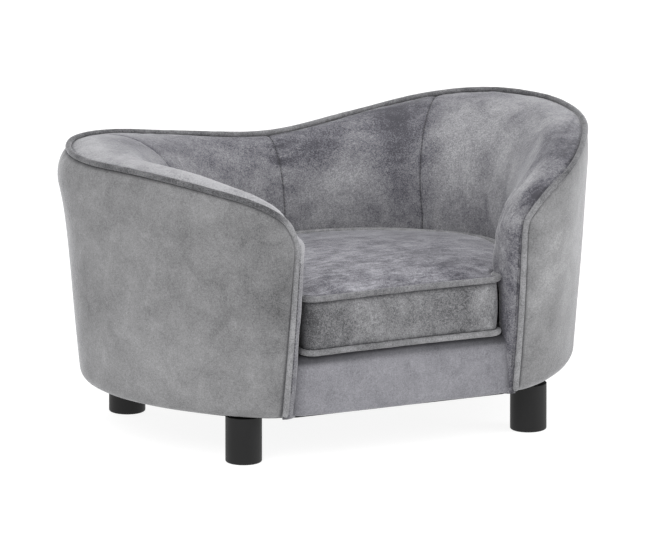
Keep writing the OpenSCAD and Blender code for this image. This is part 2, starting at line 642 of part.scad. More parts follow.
// Welts round the cushion's two edges
module cushion_welt(z) {
    ring = cushion_outline(cushion_inset);
    n = len(ring);
    r = cushion_welt_d / 2;
    sides = 8;
    function at(i) = let (q = ring[(i + n) % n]) [q[0], q[1], z];
    rings = [for (i = [0:n - 1])
        let (t = unit(at(i + 1) - at(i - 1)), x = [t[1], -t[0], 0])
        [for (k = [0:sides - 1]) at(i) + r * (x * cos(k * 360 / sides) + [0, 0, sin(k * 360 / sides)])]];
    faces = [for (i = [0:n - 1], k = [0:sides - 1])
        let (a = i * sides + k, b = i * sides + (k + 1) % sides,
            c = ((i + 1) % n) * sides + k, d = ((i + 1) % n) * sides + (k + 1) % sides)
        each [[a, d, c], [a, b, d]]];
    polyhedron(flat(rings), faces, convexity = 6);
}
module cushion_welt_top() color(plush_dark) cushion_welt(cushion_top_z);
module cushion_welt_bottom() color(plush_dark) cushion_welt(cushion_welt_z);

// Zip across the back of the boxing, on the circle that the boxing follows there
zip_deep = cushion_panel_inset - gap
    + cushion_draw * (1 - zip_h / (foam_high_z - foam_low_z));
zip_a = seat_w / 2 - zip_deep;
zip_b = seat_back_d - zip_deep;
zip_r = zip_a * zip_a / zip_b;
zip_y = seat_mid_y + zip_b - zip_r;
zip_z = (cushion_z + cushion_top_z) / 2;
function zip_arc(r, from, to) = [for (k = [0:24]) let (a = from + (to - from) * k / 24)
    [r * sin(a), r * cos(a)]];
module arc_band(r, t, h, from, to) translate([0, zip_y, zip_z - h / 2]) linear_extrude(h)
    polygon(concat(zip_arc(r, from, to), reversed(zip_arc(r + t, from, to))));
module cushion_zip() color(black) arc_band(zip_r, zip_t, zip_h, -zip_half_angle, zip_half_angle);
slider_angle = slider_l / zip_r * 180 / PI;
module zip_slider() color(steel)
    arc_band(zip_r + zip_t + gap / 2, slider_t, slider_h, -zip_half_angle, slider_angle - zip_half_angle);

outer_cover();
inner_cover(0, left_seam);  // inner_cover_left
inner_cover(left_seam, mid);  // inner_cover_back_left
inner_cover(mid, right_seam);  // inner_cover_back_right
inner_cover(right_seam, last);  // inner_cover_right
arm_facing(0);  // arm_facing_left
arm_facing(last);  // arm_facing_right
shell_welt();
padding(0, left_seam);  // padding_left
padding(left_seam, right_seam);  // padding_back
padding(right_seam, last);  // padding_right
outer_board(0, left_seam);  // outer_board_left
outer_board(left_seam, right_seam);  // outer_board_back
outer_board(right_seam, last);  // outer_board_right
rib(mid * post_share);  // arm_post_left
rib(last - mid * post_share);  // arm_post_right
rib_pair(side_share);  // side_ribs
rib_pair(corner_share);  // corner_ribs
rib(mid);  // back_rib
top_rail();
base_board();
front_rail();
rear_rail();
side_rails();
seat_deck();
deck_screws();
deck_cover();
front_rail_pad();
front_rail_cover();
dust_cover();
dust_cover_staples();
foot(foot_places[0]);  // foot_front_left
foot(foot_places[1]);  // foot_front_right
foot(foot_places[2]);  // foot_rear_left
foot(foot_places[3]);  // foot_rear_right
foot_studs();
foot_nuts();
cushion_foam();
cushion_top_panel();
cushion_bottom_panel();
cushion_boxing();
cushion_welt_top();
cushion_welt_bottom();
cushion_zip();
zip_slider();
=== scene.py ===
# A small tub sofa for a dog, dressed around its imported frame. Lengths are metres, +Z is up and
# the open front faces -Y.
import json
import math

import bmesh
import bpy
import numpy as np
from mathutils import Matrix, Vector, noise


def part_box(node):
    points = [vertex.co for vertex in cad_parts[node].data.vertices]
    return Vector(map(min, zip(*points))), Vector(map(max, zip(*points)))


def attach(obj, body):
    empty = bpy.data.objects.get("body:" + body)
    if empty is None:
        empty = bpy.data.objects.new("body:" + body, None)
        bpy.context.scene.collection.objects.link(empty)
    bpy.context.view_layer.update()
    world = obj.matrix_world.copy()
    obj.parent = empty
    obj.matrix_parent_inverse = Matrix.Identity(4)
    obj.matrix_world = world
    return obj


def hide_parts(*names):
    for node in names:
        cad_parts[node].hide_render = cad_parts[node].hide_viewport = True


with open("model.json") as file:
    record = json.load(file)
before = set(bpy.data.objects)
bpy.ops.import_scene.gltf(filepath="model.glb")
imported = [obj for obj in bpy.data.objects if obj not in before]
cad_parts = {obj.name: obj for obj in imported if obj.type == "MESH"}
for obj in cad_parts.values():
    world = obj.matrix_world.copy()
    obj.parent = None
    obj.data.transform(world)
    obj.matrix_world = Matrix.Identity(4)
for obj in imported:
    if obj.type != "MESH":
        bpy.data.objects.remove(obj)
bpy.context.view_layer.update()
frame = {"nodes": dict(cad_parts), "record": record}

# Shell, as in the part's source
SHELL_W, SHELL_D = 0.688, 0.478
WING_H, BACK_H, TIP_H = 0.380, 0.333, 0.300
TIP_LEAN, SIDE_LEAN, BACK_LEAN = 0.043, 0.015, 0.019
EDGE_R, EDGE_LAP, BELLY, CROWN, WELT_D = 0.018, 0.004, 0.004, 0.025, 0.011
SIDE_WALL_T, SEAT_BACK_D, BACK_WALL_T = 0.104, 0.188, 0.047
ARM_TIP_T, ARM_LAP, FACING_T = 0.025, 0.069, 0.008
SKIN_T, GAP, PAD_T = 0.002, 0.0003, 0.028
FOOT_H, DUST_T, DECK_Z, BASE_T = 0.062, 0.001, 0.143, 0.012
BASE_W = SHELL_W - 2 * SIDE_LEAN
BASE_D = SHELL_D - TIP_LEAN - BACK_LEAN
BASE_Z = FOOT_H + DUST_T + GAP
BASE_TOP_Z = BASE_Z + SKIN_T + GAP + BASE_T
RAIL_Y = -SHELL_D / 2 + TIP_LEAN
BASE_MID_Y = RAIL_Y + BASE_D / 2
SEAT_W = BASE_W - 2 * SIDE_WALL_T
SEAT_MID_Y = RAIL_Y + BASE_D - BACK_WALL_T - SEAT_BACK_D
WALL_END_X = SEAT_W / 2 - ARM_LAP
MOUTH_X = WALL_END_X - FACING_T
SEAT_FRONT_D = (SEAT_MID_Y - RAIL_Y - ARM_TIP_T) / math.sqrt(1 - (2 * WALL_END_X / SEAT_W) ** 2)

# Cushion, as in the part's source
CUSHION_H, CUSHION_CROWN, CUSHION_OVERHANG = 0.072, 0.015, 0.009
CUSHION_R, CUSHION_WELT_D, CUSHION_PLAY = 0.016, 0.009, 0.003
CUSHION_DRAW, FRONT_DRAW = 0.004, 0.003
CUSHION_Z = DECK_Z + SKIN_T + GAP
CUSHION_WELT_Z = CUSHION_Z + CUSHION_WELT_D / 2
CUSHION_TOP_Z = CUSHION_WELT_Z + CUSHION_H
CUSHION_Y = RAIL_Y - CUSHION_OVERHANG
CUSHION_INSET = CUSHION_PLAY + CUSHION_WELT_D / 2

# Stations from the middle of the back, 0, to an arm tip, 10. Both outlines are shares of half
# the shell's width and depth.
WELT_LINE_SHARES = [[0, 0.96], [0.36, 0.995], [0.65, 0.95], [0.86, 0.76], [0.98, 0.44], [1, 0.11],
                    [0.925, -0.30], [0.79, -0.68], [0.65, -0.94], [0.54, -0.99], [0.48, -0.93]]
BASE_LINE_SHARES = [[0, 1], [0.365, 0.99], [0.65, 0.93], [0.85, 0.74], [0.97, 0.41], [1, 0.09],
                    [0.94, -0.30], [0.82, -0.63], [0.68, -0.865], [0.57, -0.975], [0.52, -1]]
RISE_SHARES = [0, 0.25, 0.6, 0.83, 0.92, 0.94, 1, 1, 1, 1, 1]
FALL_SHARES = [0, 0, 0, 0, 0, 0, 0, 0.08, 0.24, 0.55, 1]
TURN_SHARES = [0, 0.15, 0.27, 0.4, 0.53, 0.65, 0.76, 0.855, 0.92, 0.967, 1]
CROWN_SHARES = [0, 0.1, 0.4, 0.8, 1, 1, 0.95, 0.85, 0.75, 0.85, 0.9]
RIGHT_CROWN_SHARES = [0, 0.05, 0.15, 0.35, 0.62, 0.88, 1, 1, 0.8, 0.5, 0.35]
ROLL_SHARE = 0.9
MID, LAST = 10, 20
SEAMS = [7.5, 10.0, 12.5]

# How far the soft covers stand out from the frame's own lines, from the middle of the back to an
# arm tip: the whole edge, the sides, the swelling under the welt, and the arms over the cushion
EDGE_OUT = [0.002, 0.002, 0.0025, 0.003, 0.003, 0.002, 0.001, 0, 0, 0, 0]
SIDE_OUT = [0.003, 0.003, 0.005, 0.007, 0.0075, 0.006, 0.003, 0.0015, 0.0005, 0, 0]
SWELL_OUT = [0.005, 0.006, 0.009, 0.0105, 0.0105, 0.0075, 0.0045, 0.003, 0.002, 0.001, 0]
SWELL_DOWN, SIDE_EASE_SHARE = 0.022, 0.15
ARM_IN = [0, 0, 0, 0.001, 0.002, 0.003, 0.0035, 0.003, 0.005, 0.0125, 0.0165]
RIGHT_ARM_IN = [0, 0, 0, 0.001, 0.002, 0.003, 0.005, 0.008, 0.0125, 0.015, 0.015]
# Heights over which the arms' stuffing fades out under the welt, for the left and the right arm
ARM_IN_TOPS, ARM_IN_FADE = (0.335, 0.372), 0.06
EDGE_UP, FACING_SWELL = 0.0022, 0.0135
# How far the right arm's welt and outer cover lie in towards the mouth at its foot
RIGHT_TIP_IN = 0.009
# How far the left and the right seam draw towards the middle at the welt, and away from it at
# the seat, in stations
SEAM_DRAWS = [(0.05, 0.0), (0.3, 0.17)]
# How far the left wing sits down, and where most
WING_DOWN, WING_DOWN_AT, WING_DOWN_REACH = 0.0055, 6.6, 2.0
# How far the cushion's top is sat down towards the back
REAR_DOWN = 0.009

# How finely the covers are modelled
STATION_STEPS = 16
SEAM_OFFSETS = [0.012, 0.024, 0.038, 0.055, 0.08, 0.11]
ROLL_ROWS, WALL_ROWS, OUTER_ROWS, FACING_COLUMNS = 30, 12, 44, 14

# The covers' grids: how their rows crowd towards the welt, how soon the arms' stuffing starts
# under it, and how near points are joined
ROLL_SPREAD, OUTER_SPREAD, WELT_ROWS_SHARE, MERGE = 1.25, 1.2, 0.17, 0.00001
# Each inner piece's shift in the pile's pattern
PIECE_SHIFT = 1.7

# The drawn welt, and the painted shade beside it
DRAWN_WELT_D, WELT_PROUD_SHARE = 0.0076, 0.2
WELT_SHADE_SHARE, WELT_SHADE_W = 0.48, 0.0024
# It leans away from what lies beside it: a point some stations along at an arm tip, one some way
# round the roll on top, with these shares of the way in and of the way over the roll
TIP_BESIDE, TIP_IN_SHARE, TOP_TURN, TOP_OVER_SHARE = 0.25, 0.8, 0.28, 0.55
WELT_STEP, WELT_END_UP, WELT_ROUNDS, LEAN_ROUNDS = 0.003, 0.005, 8, 90
# Heights where its colour is painted lighter below and darker above for the pile's sheen, and how much at the
# left and right
WELT_LIGHT, WELT_LIGHT_Z, WELT_LIGHT_FADE = 0.28, 0.36, 0.04
WELT_DARKS, WELT_DARK_Z, WELT_DARK_FADE = (0.24, 0.12), 0.335, 0.02
CORD_WAVE, CORD_END_SHARE = 0.012, 0.6

# Stitches along the seams, and the row beside the welt on the arms' fronts
STITCH_PITCH, STITCH_SIDES = 0.0048, 6
STITCH_SIZES, STITCH_LIFTS = (0.45, 1, 1, 0.45), (-0.3, 0.5, 0.5, -0.3)
SEAM_STITCH, SEAM_THREAD_R = 0.0034, 0.00045
FLANGE, FLANGE_STITCH, FLANGE_THREAD_R = 0.0085, 0.0046, 0.0004
FLANGE_CORNER_SHARE, FLANGE_COLUMNS, FLANGE_ROUNDS, FLANGE_STEP = 2.5, 12, 6, 0.002

# Padding: its gap to the covers, how much thinner it is than the solid, and where it ends
PAD_CLEAR, PAD_THINNER, PAD_TO_OUTER, PAD_FROM_BOARD = 0.0022, 0.003, 0.018, 0.001
PAD_FROM_TURN, PAD_ROLL_ROWS, PAD_WALL_ROWS, PAD_STEPS = 0.04, 14, 5, 6
PADDINGS = [("foam_left", "padding_left", 0.1, 7.4), ("foam_back", "padding_back", 7.6, 12.4),
            ("foam_right", "padding_right", 12.6, 19.9)]

# Front rail: the cover's corners, flap and lap, its puffed front, its ends, its painted shade
# (the cushion's shadow on its top, shade at its ends), its grid's columns and the rows that its
# foam lies behind
RAIL_R, RAIL_FLAP, RAIL_LAP, RAIL_PAD_CLEAR = 0.009, (0.042, 0.032, 0.022), 0.016, 0.0004
RAIL_PUFF, RAIL_PUFF_FROM, RAIL_END_TUCK, RAIL_END_W = 0.0022, 0.05, 0.004, 0.006
RAIL_MID_SHADOW, RAIL_CORNER_SHADOW, RAIL_END_SHADE = 0.9, 0.45, 0.7
RAIL_SHADE_DOWN, RAIL_SHADE_SOFT, RAIL_COLUMNS, RAIL_PAD_ROWS = 0.0075, 0.0050, 90, slice(8, 27)

# Cushion's rings: how far they stand out from the panel's line, and how the crown is filled
CUSHION_MID = np.array([0, (SEAT_MID_Y + SEAT_BACK_D + CUSHION_Y) / 2])
PANEL_INSET = CUSHION_INSET + CUSHION_WELT_D / 2
TOP_RINGS, BOXING_ROWS, BOTTOM_RINGS = 30, 20, 8
TOP_START = BOTTOM_RINGS + BOXING_ROWS
BOTTOM_MIDDLE, TOP_MIDDLE, NEAR_RIM = 0.05, 0.04, 0.985
RIM_OUT, BOXING_OUT, BOXING_BOW, BOXING_LIFT, CROWN_FILL = 0.003, 0.0012, 0.0022, 0.001, 0.72
CUSHION_SKIN_T, CORE_DEEP = 0.0016, 0.003
# Its stuffing as a pressed cloth, and how far that may move the top, its rear and the boxing
STUFFING = {"quality": 5, "mass": 0.25, "tension_stiffness": 12, "compression_stiffness": 12,
            "shear_stiffness": 6, "bending_stiffness": 0.35, "use_pressure": True,
            "uniform_pressure_force": 3.0, "shrink_min": -0.018, "vertex_group_mass": "held",
            "pin_stiffness": 1.0}
STUFFING_FRAMES = 20
TOP_CAP, REAR_CAP, BOXING_CAP = 0.0085, 0.002, 0.0032
REAR_CAP_Y, REAR_CAP_FADE, REAR_DOWN_Y, REAR_DOWN_FADE = 0.02, 0.14, 0.09, 0.25
# Its seams' tucks and lines of painted shade beside the cords, a dark place on the boxing, and the cords
REAR_FROM, RIM_REACH, REAR_RIM_REACH, RIM_SOFT = 0.12, 0.0028, 0.005, 0.003
BOXING_TUCK, BOXING_TUCK_W, BOXING_LINE, BOXING_LINE_SOFT = 0.002, 0.003, 0.0048, 0.0026
BOXING_DARK, BOXING_DARK_X, BOXING_DARK_W, BOXING_DARK_Y = -0.22, -0.13, 0.05, -0.15
CORD_SWAY, CORD_SWAY_SIZE, CORD_REAR_LIGHT, CORD_THINNER = 0.0006, 0.05, 0.25, 0.0005

# Zip along the back of the boxing, as in the part's source, with its teeth and pull tab
ZIP_TAPE_H, ZIP_CORNER = 0.024, 0.0001
ZIP_DEEP = PANEL_INSET + CUSHION_DRAW * (1 - ZIP_TAPE_H / (CUSHION_H - ZIP_CORNER))
ZIP_R = (SEAT_W / 2 - ZIP_DEEP) ** 2 / (SEAT_BACK_D - ZIP_DEEP)
ZIP_Y = SEAT_MID_Y + SEAT_BACK_D - ZIP_DEEP - ZIP_R
TAPE_T, TEETH_END = 0.0009, 0.012
ZIP_OVER, ZIP_OVER_FADE, ZIP_BESIDE, ZIP_BESIDE_FADE = 0.001, 0.012, 0.002, 0.03
TOOTH_PITCH, TOOTH_SHIFT, TOOTH_W, TOOTH_H = 0.0021, 0.0006, 0.0013, 0.0042
TOOTH_SUNK, TOOTH_PROUD = 0.0003, 0.0006
PULL_TOP_R, PULL_END_R, PULL_L, PULL_T, PULL_DOWN, PULL_CLEAR = 0.0022, 0.0028, 0.0135, 0.0009, 0.001, 0.0002

# Feet
FOOT_EDGE, FOOT_RECESS, FOOT_PAD_SHARE, FOOT_RIM_SHARE, FOOT_SIDES = 0.0022, 0.0004, 0.55, 0.6, 72

# Camera, from the photograph, and studio: lamps with their places, sizes and powers
IMAGE_W, SENSOR_W, CAMERA_FAR = 650, 36, 200
CAMERA_TURN, CAMERA_DIP = 0.430722405, 0.245582816
CAMERA_AWAY, CAMERA_LENS_PX = 30.0835, 22950.08
CAMERA_AIM = Vector((-0.022137, 0.0, 0.19758))
FLOOR_HALF, SKY = 40.0, 0.6
LAMPS = [("key", (-1.7, -1.6, 2.2), 1.6, 40.0), ("top", (0.3, 0.5, 2.8), 2.0, 30.0),
         ("fill", (2.2, -1.5, 1.2), 1.4, 24.0)]


def mirrored(values, sign=1):
    """A table from the left arm tip over the middle to the right one"""
    left = [[-v[0], v[1]] if isinstance(v, list) else sign * v for v in reversed(values[1:])]
    return np.array(left + values, float)


def smooth(values, s):
    """A smooth curve through the rows of a table, at the places s"""
    i = np.clip(np.floor(s).astype(int), 0, len(values) - 2)
    f = (s - i).reshape(-1, *[1] * (values.ndim - 1))
    a, b, c, d = (values[np.clip(i + k, 0, len(values) - 1)] for k in (-1, 0, 1, 2))
    return (b + f * (c - a) / 2 + f ** 2 * (2 * a - 5 * b + 4 * c - d) / 2
            + f ** 3 * (3 * (b - c) + d - a) / 2)


WELT_LINE, BASE_LINE = mirrored(WELT_LINE_SHARES), mirrored(BASE_LINE_SHARES)
RISES, FALLS = mirrored(RISE_SHARES), mirrored(FALL_SHARES)
TURNS = mirrored(TURN_SHARES, -1)
EDGES, SIDES, SWELLS = mirrored(EDGE_OUT), mirrored(SIDE_OUT), mirrored(SWELL_OUT)
CROWNS = np.array(CROWN_SHARES[:0:-1] + RIGHT_CROWN_SHARES)
ARMS = np.array(ARM_IN[:0:-1] + RIGHT_ARM_IN)


def soft_step(x):
    """Rises softly from 0 to 1"""
    x = np.clip(x, 0, 1)
    return x * x * (3 - 2 * x)


def unit(v):
    return v / np.maximum(np.linalg.norm(v, axis=-1, keepdims=True), 1e-12)


def joined(xy, z):
    return np.column_stack([xy, np.broadcast_to(z, len(xy))])


def welt_z(s):
    return (EDGE_UP + BACK_H + (WING_H - BACK_H) * smooth(RISES, s) - (WING_H - TIP_H) * smooth(FALLS, s)
            - WING_DOWN * np.exp(-((s - WING_DOWN_AT) / WING_DOWN_REACH) ** 2))


def welt_at(s):
    return joined(smooth(WELT_LINE, s) * [SHELL_W / 2, SHELL_D / 2], welt_z(s))


def base_at(s):
    return joined(smooth(BASE_LINE, s) * [BASE_W / 2, BASE_D / 2] + [0, BASE_MID_Y], BASE_Z)


def seat_curve(turn, inset):
    d = np.where(np.cos(turn) > 0, SEAT_BACK_D, SEAT_FRONT_D) - inset
    return np.column_stack([(SEAT_W / 2 - inset) * np.sin(turn), SEAT_MID_Y + d * np.cos(turn)])


def end_turn(x, inset):
    return math.pi - math.asin(x / (SEAT_W / 2 - inset))


def seat_at(s):
    return seat_curve(end_turn(WALL_END_X, 0) * smooth(TURNS, s), 0)


def inward(s):
    return joined(unit(seat_at(s) - welt_at(s)[:, :2]), 0)


def roll_h(s):
    return ROLL_SHARE * (welt_z(s) - CUSHION_TOP_Z)


def wall_point(s, deep, z):
    """Points of the outer wall, deep from its face and at a height over the floor"""
    low, top = base_at(s), welt_at(s)
    v = (z - BASE_Z) / (top[:, 2] - BASE_Z)
    share = np.clip(v, 0, 1)
    out = deep - BELLY * np.sin(np.pi * share) - smooth(EDGES, s) * share
    p = low + v[:, None] * (top - low) + out[:, None] * inward(s)
    p[:, 0] -= RIGHT_TIP_IN * (1 - share) ** 0.8 * np.clip(s - LAST + 1, 0, 1) ** 2
    p[:, 2] = z
    return p


def swollen(s, z):
    """How far the outer cover stands out from the wall, most of all a little under the welt"""
    top = welt_z(s)
    v = np.clip((z - BASE_Z) / (top - BASE_Z), 0, 1)
    down = np.maximum(top - z, 0) / SWELL_DOWN
    return (smooth(SIDES, s) * soft_step((1 - v) / SIDE_EASE_SHARE)
            + smooth(SWELLS, s) * down * np.exp(1 - down))


def seat_point(s, deep, z):
    """Points of the seat wall, deep from its face towards the outer wall"""
    q = seat_at(s)
    n = unit(wall_point(s, 0, z)[:, :2] - q)
    return joined(q + n * deep, z)


def roll_point(s, angle, deep):
    """Points of the padded roll, from the welt at 0 to the seat wall at a quarter turn"""
    z = (welt_z(s) + (roll_h(s) - deep) * math.cos(angle) - roll_h(s)
         + CROWN * smooth(CROWNS, s) * math.sin(2 * angle))
    start, end = wall_point(s, 0, welt_z(s) - deep), seat_point(s, deep, z)
    q = start + (end - start) * math.sin(angle)
    q[:, 2] = z
    return q


def stations():
    """Stations of the covers, closer together beside the seams"""
    near = [seam + side * d for seam in SEAMS for d in SEAM_OFFSETS for side in (-1, 1)]
    even = np.linspace(0, LAST, LAST * STATION_STEPS + 1)
    even = [s for s in even if all(abs(s - seam) > SEAM_OFFSETS[-1] or s == seam for seam in SEAMS)]
    return np.unique(np.round(np.concatenate([even, near]), 5))


def lengths(grid, axis):
    """Running length along an axis of a grid of points"""
    step = np.linalg.norm(np.diff(grid, axis=axis), axis=-1)
    return np.insert(np.cumsum(step, axis=axis), 0, 0, axis=axis)


def facing(grid, place, sign):
    """Normals of a grid, turned so that at one place they point along +Y or -Y"""
    out = unit(np.cross(np.gradient(grid, axis=0), np.gradient(grid, axis=1)))
    return out if out[place][1] * sign > 0 else -out


def fades(distance, start, width):
    """1 up to a distance, then softly down to 0"""
    return np.exp(-(np.maximum(distance - start, 0) / width) ** 2)


def cloth_at(along, down, seed=0.0):
    """The cloth's own coordinates, which its pile follows"""
    return np.stack([along, down, np.full(along.shape, seed)], axis=-1)


def wave(x, y, seed, size):
    """Smooth noise over a grid, its waves about size long"""
    return np.array([[noise.noise((a / size, b / size, seed)) for a, b in zip(p, q)] for p, q in zip(x, y)])


def link(name, data):
    obj = bpy.data.objects.new(name, data)
    bpy.context.scene.collection.objects.link(obj)
    return obj


def add_layers(mesh, cloth=None, crease=None, tone=None):
    """The cloth's own coordinates, its painted shade and its tone, for its material"""
    for name, kind, key, values in (("cloth", "FLOAT_VECTOR", "vector", cloth),
                                    ("crease", "FLOAT", "value", crease), ("tone", "FLOAT", "value", tone)):
        if values is not None:
            layer = mesh.attributes.new(name, kind, "POINT")
            layer.data.foreach_set(key, np.asarray(values, np.float32).ravel())


def solid(name, points, faces, flat=False, merge=False, **layers):
    """A closed mesh in the scene, its faces turned outwards, with the layers of add_layers"""
    mesh = bpy.data.meshes.new(name)
    mesh.from_pydata(np.reshape(points, (-1, 3)).tolist(), [], faces)
    for polygon in mesh.polygons:
        polygon.use_smooth = not flat
    add_layers(mesh, **layers)
    work = bmesh.new()
    work.from_mesh(mesh)
    if merge:
        bmesh.ops.remove_doubles(work, verts=work.verts, dist=MERGE)
    bmesh.ops.recalc_face_normals(work, faces=work.faces)
    work.to_mesh(mesh)
    work.free()
    return link(name, mesh)


def quads(rows, columns, round_rows=False, round_columns=False):
    """Faces over a grid of points that is open or closed into a ring either way"""
    i, j = np.meshgrid(np.arange(rows if round_rows else rows - 1),
                       np.arange(columns if round_columns else columns - 1), indexing="ij")
    i, j = i.ravel(), j.ravel()
    here, below, beside = i * columns, (i + 1) % rows * columns, (j + 1) % columns
    return np.column_stack([here + j, here + beside, below + beside, below + j])


def skin(name, front, back, faces, cloth, crease, tone, merge=False):
    """A closed cover, its back with the same layers as its front"""
    cloth, crease, tone = (None if v is None else np.concatenate([v, v]) for v in (cloth, crease, tone))
    return solid(name, np.concatenate([front, back]), faces.tolist(), merge=merge,
                 cloth=cloth, crease=crease, tone=tone)


def panel(name, front, back, cloth, crease, tone=None):
    """Closed cloth panel between the grid that is seen and the one behind it"""
    n, m = front.shape[:2]
    k = n * m
    ring = np.concatenate([np.arange(m), np.arange(1, n) * m + m - 1,
                           (n - 1) * m + np.arange(m - 2, -1, -1), np.arange(n - 2, 0, -1) * m])
    after = np.roll(ring, -1)
    rims = np.column_stack([after, ring, ring + k, after + k])
    faces = np.concatenate([quads(n, m), quads(n, m)[:, ::-1] + k, rims])
    return skin(name, front, back, faces, cloth, crease, tone, merge=True)


def ring_panel(name, front, back, cloth, crease, tone):
    """Closed band round the cushion. The last column repeats the first."""
    front, back, cloth, crease, tone = (v[:, :-1] for v in (front, back, cloth, crease, tone))
    n, m = front.shape[:2]
    k, last = n * m, (n - 1) * m
    j = np.arange(m)
    q = (j + 1) % m
    band = quads(n, m, round_columns=True)
    rims = [np.column_stack([j, q, q + k, j + k]),
            np.column_stack([last + q, last + j, last + j + k, last + q + k])]
    return skin(name, front, back, np.concatenate([band, band[:, ::-1] + k, *rims]), cloth, crease, tone)


def stack(name, rings):
    """Closed body through a stack of rings"""
    n, m = rings.shape[:2]
    points = np.concatenate([rings.reshape(-1, 3), [rings[0].mean(0), rings[-1].mean(0)]])
    faces = quads(n, m, round_columns=True).tolist()
    faces += [[n * m, (k + 1) % m, k] for k in range(m)]
    faces += [[n * m + 1, (n - 1) * m + k, (n - 1) * m + (k + 1) % m] for k in range(m)]
    return solid(name, points, faces)


def disc_panel(name, rings, offset, seed):
    """Closed panel over rings that run from its rim to its middle"""
    rings = rings[:, :-1]
    obj = stack(name, np.concatenate([rings[::-1], rings + [0, 0, offset]]))
    points = np.array([v.co for v in obj.data.vertices])
    x, y = points[:, 0], points[:, 1]
    to_rim = np.min([np.hypot(x - q[0], y - q[1]) for q in rings[0, ::2]], axis=0)
    # Painted shade beside the rim's cord, wider towards the back
    crease = fades(to_rim, RIM_REACH + REAR_RIM_REACH * np.clip(y / REAR_FROM, 0, 1), RIM_SOFT)
    add_layers(obj.data, np.column_stack([x, y, np.full(len(points), seed)]), crease)
    return obj


def tube(name, path, ups, radius, sides, seed, wobble, tone, closed=False):
    """Cord along a path, its rings turned by an up direction at each point, with a tone for each"""
    n = len(path)
    ahead = unit(np.roll(path, -1, 0) - np.roll(path, 1, 0))
    r = np.full(n, radius)
    if not closed:
        ahead[0], ahead[-1] = unit(path[1] - path[0]), unit(path[-1] - path[-2])
        r[[0, -1]] *= CORD_END_SHARE
    x = unit(np.cross(ahead, ups))
    y = np.cross(x, ahead)
    along = lengths(path, 0)
    angle = 2 * np.pi * np.arange(sides) / sides
    points, cloth = np.empty((n, sides, 3)), np.empty((n, sides, 3))
    for i in range(n):
        ring = np.array([1 + wobble * noise.noise((along[i] / CORD_WAVE, 2 * math.cos(a), seed + math.sin(a)))
                         for a in angle]) * r[i]
        points[i] = path[i] + (ring * np.cos(angle))[:, None] * x[i] + (ring * np.sin(angle))[:, None] * y[i]
        cloth[i] = np.column_stack([np.full(sides, along[i]), radius * np.abs(angle - math.pi),
                                    np.full(sides, seed)])
    faces = quads(n, sides, closed, True).tolist()
    if not closed:
        faces += [list(range(sides))[::-1], list(range((n - 1) * sides, n * sides))]
    return solid(name, points, faces, cloth=cloth, crease=np.zeros(n * sides), tone=np.repeat(tone, sides))


def placed(values, along, at):
    """The values that a path carries, at some lengths along it"""
    return np.column_stack([np.interp(at, along, values[:, k]) for k in range(3)])


def resampled(path, step, values):
    """A path's points at even steps, and the values that it carries"""
    along = lengths(path, 0)
    at = np.linspace(0, along[-1], int(along[-1] / step) + 1)
    return placed(path, along, at), placed(values, along, at)


def eased(values, rounds):
    """A list of points or directions, each drawn towards its neighbours"""
    v = values.copy()
    for _ in range(rounds):
        v[1:-1] = v[1:-1] / 2 + (v[:-2] + v[2:]) / 4
    return v


def stitches(name, path, ups, length, radius):
    """Short stitches along a path that lies on a cover, their ends sunk into it"""
    along = lengths(path, 0)
    turn = 2 * np.pi * np.arange(STITCH_SIDES) / STITCH_SIDES
    sin, cos = np.sin(turn)[:, None], np.cos(turn)[:, None]
    rings, faces = [], []
    tube_faces = quads(4, STITCH_SIDES, round_columns=True)
    for start in np.arange(STITCH_PITCH, along[-1] - STITCH_PITCH, STITCH_PITCH):
        p = placed(path, along, start + length * np.linspace(-0.5, 0.5, 4))
        up = unit(placed(ups, along, [start])[0])
        across = np.cross(unit(p[-1] - p[0]), up)
        base = len(rings) * STITCH_SIDES
        for q, size, lift in zip(p, STITCH_SIZES, STITCH_LIFTS):
            rings.append(q + up * (radius * lift + radius * size * sin) + across * radius * size * cos)
        ends = np.arange(base, base + STITCH_SIDES)
        faces += (tube_faces + base).tolist() + [ends[::-1].tolist(), (ends + 3 * STITCH_SIDES).tolist()]
    return solid(name, rings, faces)


# Materials

def node(tree, kind, inputs=None, **props):
    """One shader node with its settings. An input is a number, a colour or another node's output."""
    n = tree.nodes.new(kind)
    for key, value in props.items():
        setattr(n, key, value)
    for key, value in (inputs or {}).items():
        if isinstance(value, bpy.types.NodeSocket):
            tree.links.new(value, n.inputs[key])
        else:
            n.inputs[key].default_value = value
    return n


def math_node(tree, operation, a, b):
    """Two numbers or outputs joined into one"""
    return node(tree, "ShaderNodeMath", {0: a, 1: b}, operation=operation).outputs[0]


def weighed(tree, a, a_share, b, b_share):
    parts = [math_node(tree, "MULTIPLY", part, share) for part, share in ((a, a_share), (b, b_share))]
    return math_node(tree, "ADD", *parts)


def vector_node(tree, operation, a, b):
    return node(tree, "ShaderNodeVectorMath", {0: a, 1: b}, operation=operation).outputs[0]


def place_node(tree):
    return node(tree, "ShaderNodeTexCoord").outputs["Object"]


def layer_node(tree, name, output="Fac"):
    return node(tree, "ShaderNodeAttribute", attribute_name=name).outputs[output]


def noise_node(tree, vector, scale, detail=2.0, roughness=0.5, distortion=0.0):
    return node(tree, "ShaderNodeTexNoise", {"Vector": vector, "Scale": scale, "Detail": detail,
                "Roughness": roughness, "Distortion": distortion}).outputs["Fac"]


def wave_node(tree, axis, **inputs):
    inputs = {key.replace("_", " "): value for key, value in inputs.items()}
    return node(tree, "ShaderNodeTexWave", inputs, wave_type="BANDS", bands_direction=axis).outputs["Fac"]


def ramp(tree, factor, stops):
    """Colours along a factor, each stop a place and a colour"""
    n = node(tree, "ShaderNodeValToRGB", {0: factor})
    while len(n.color_ramp.elements) < len(stops):
        n.color_ramp.elements.new(0.5)
    for element, (place, colour) in zip(n.color_ramp.elements, stops):
        element.position = place
        element.color = (*colour, 1)
    return n.outputs[0]


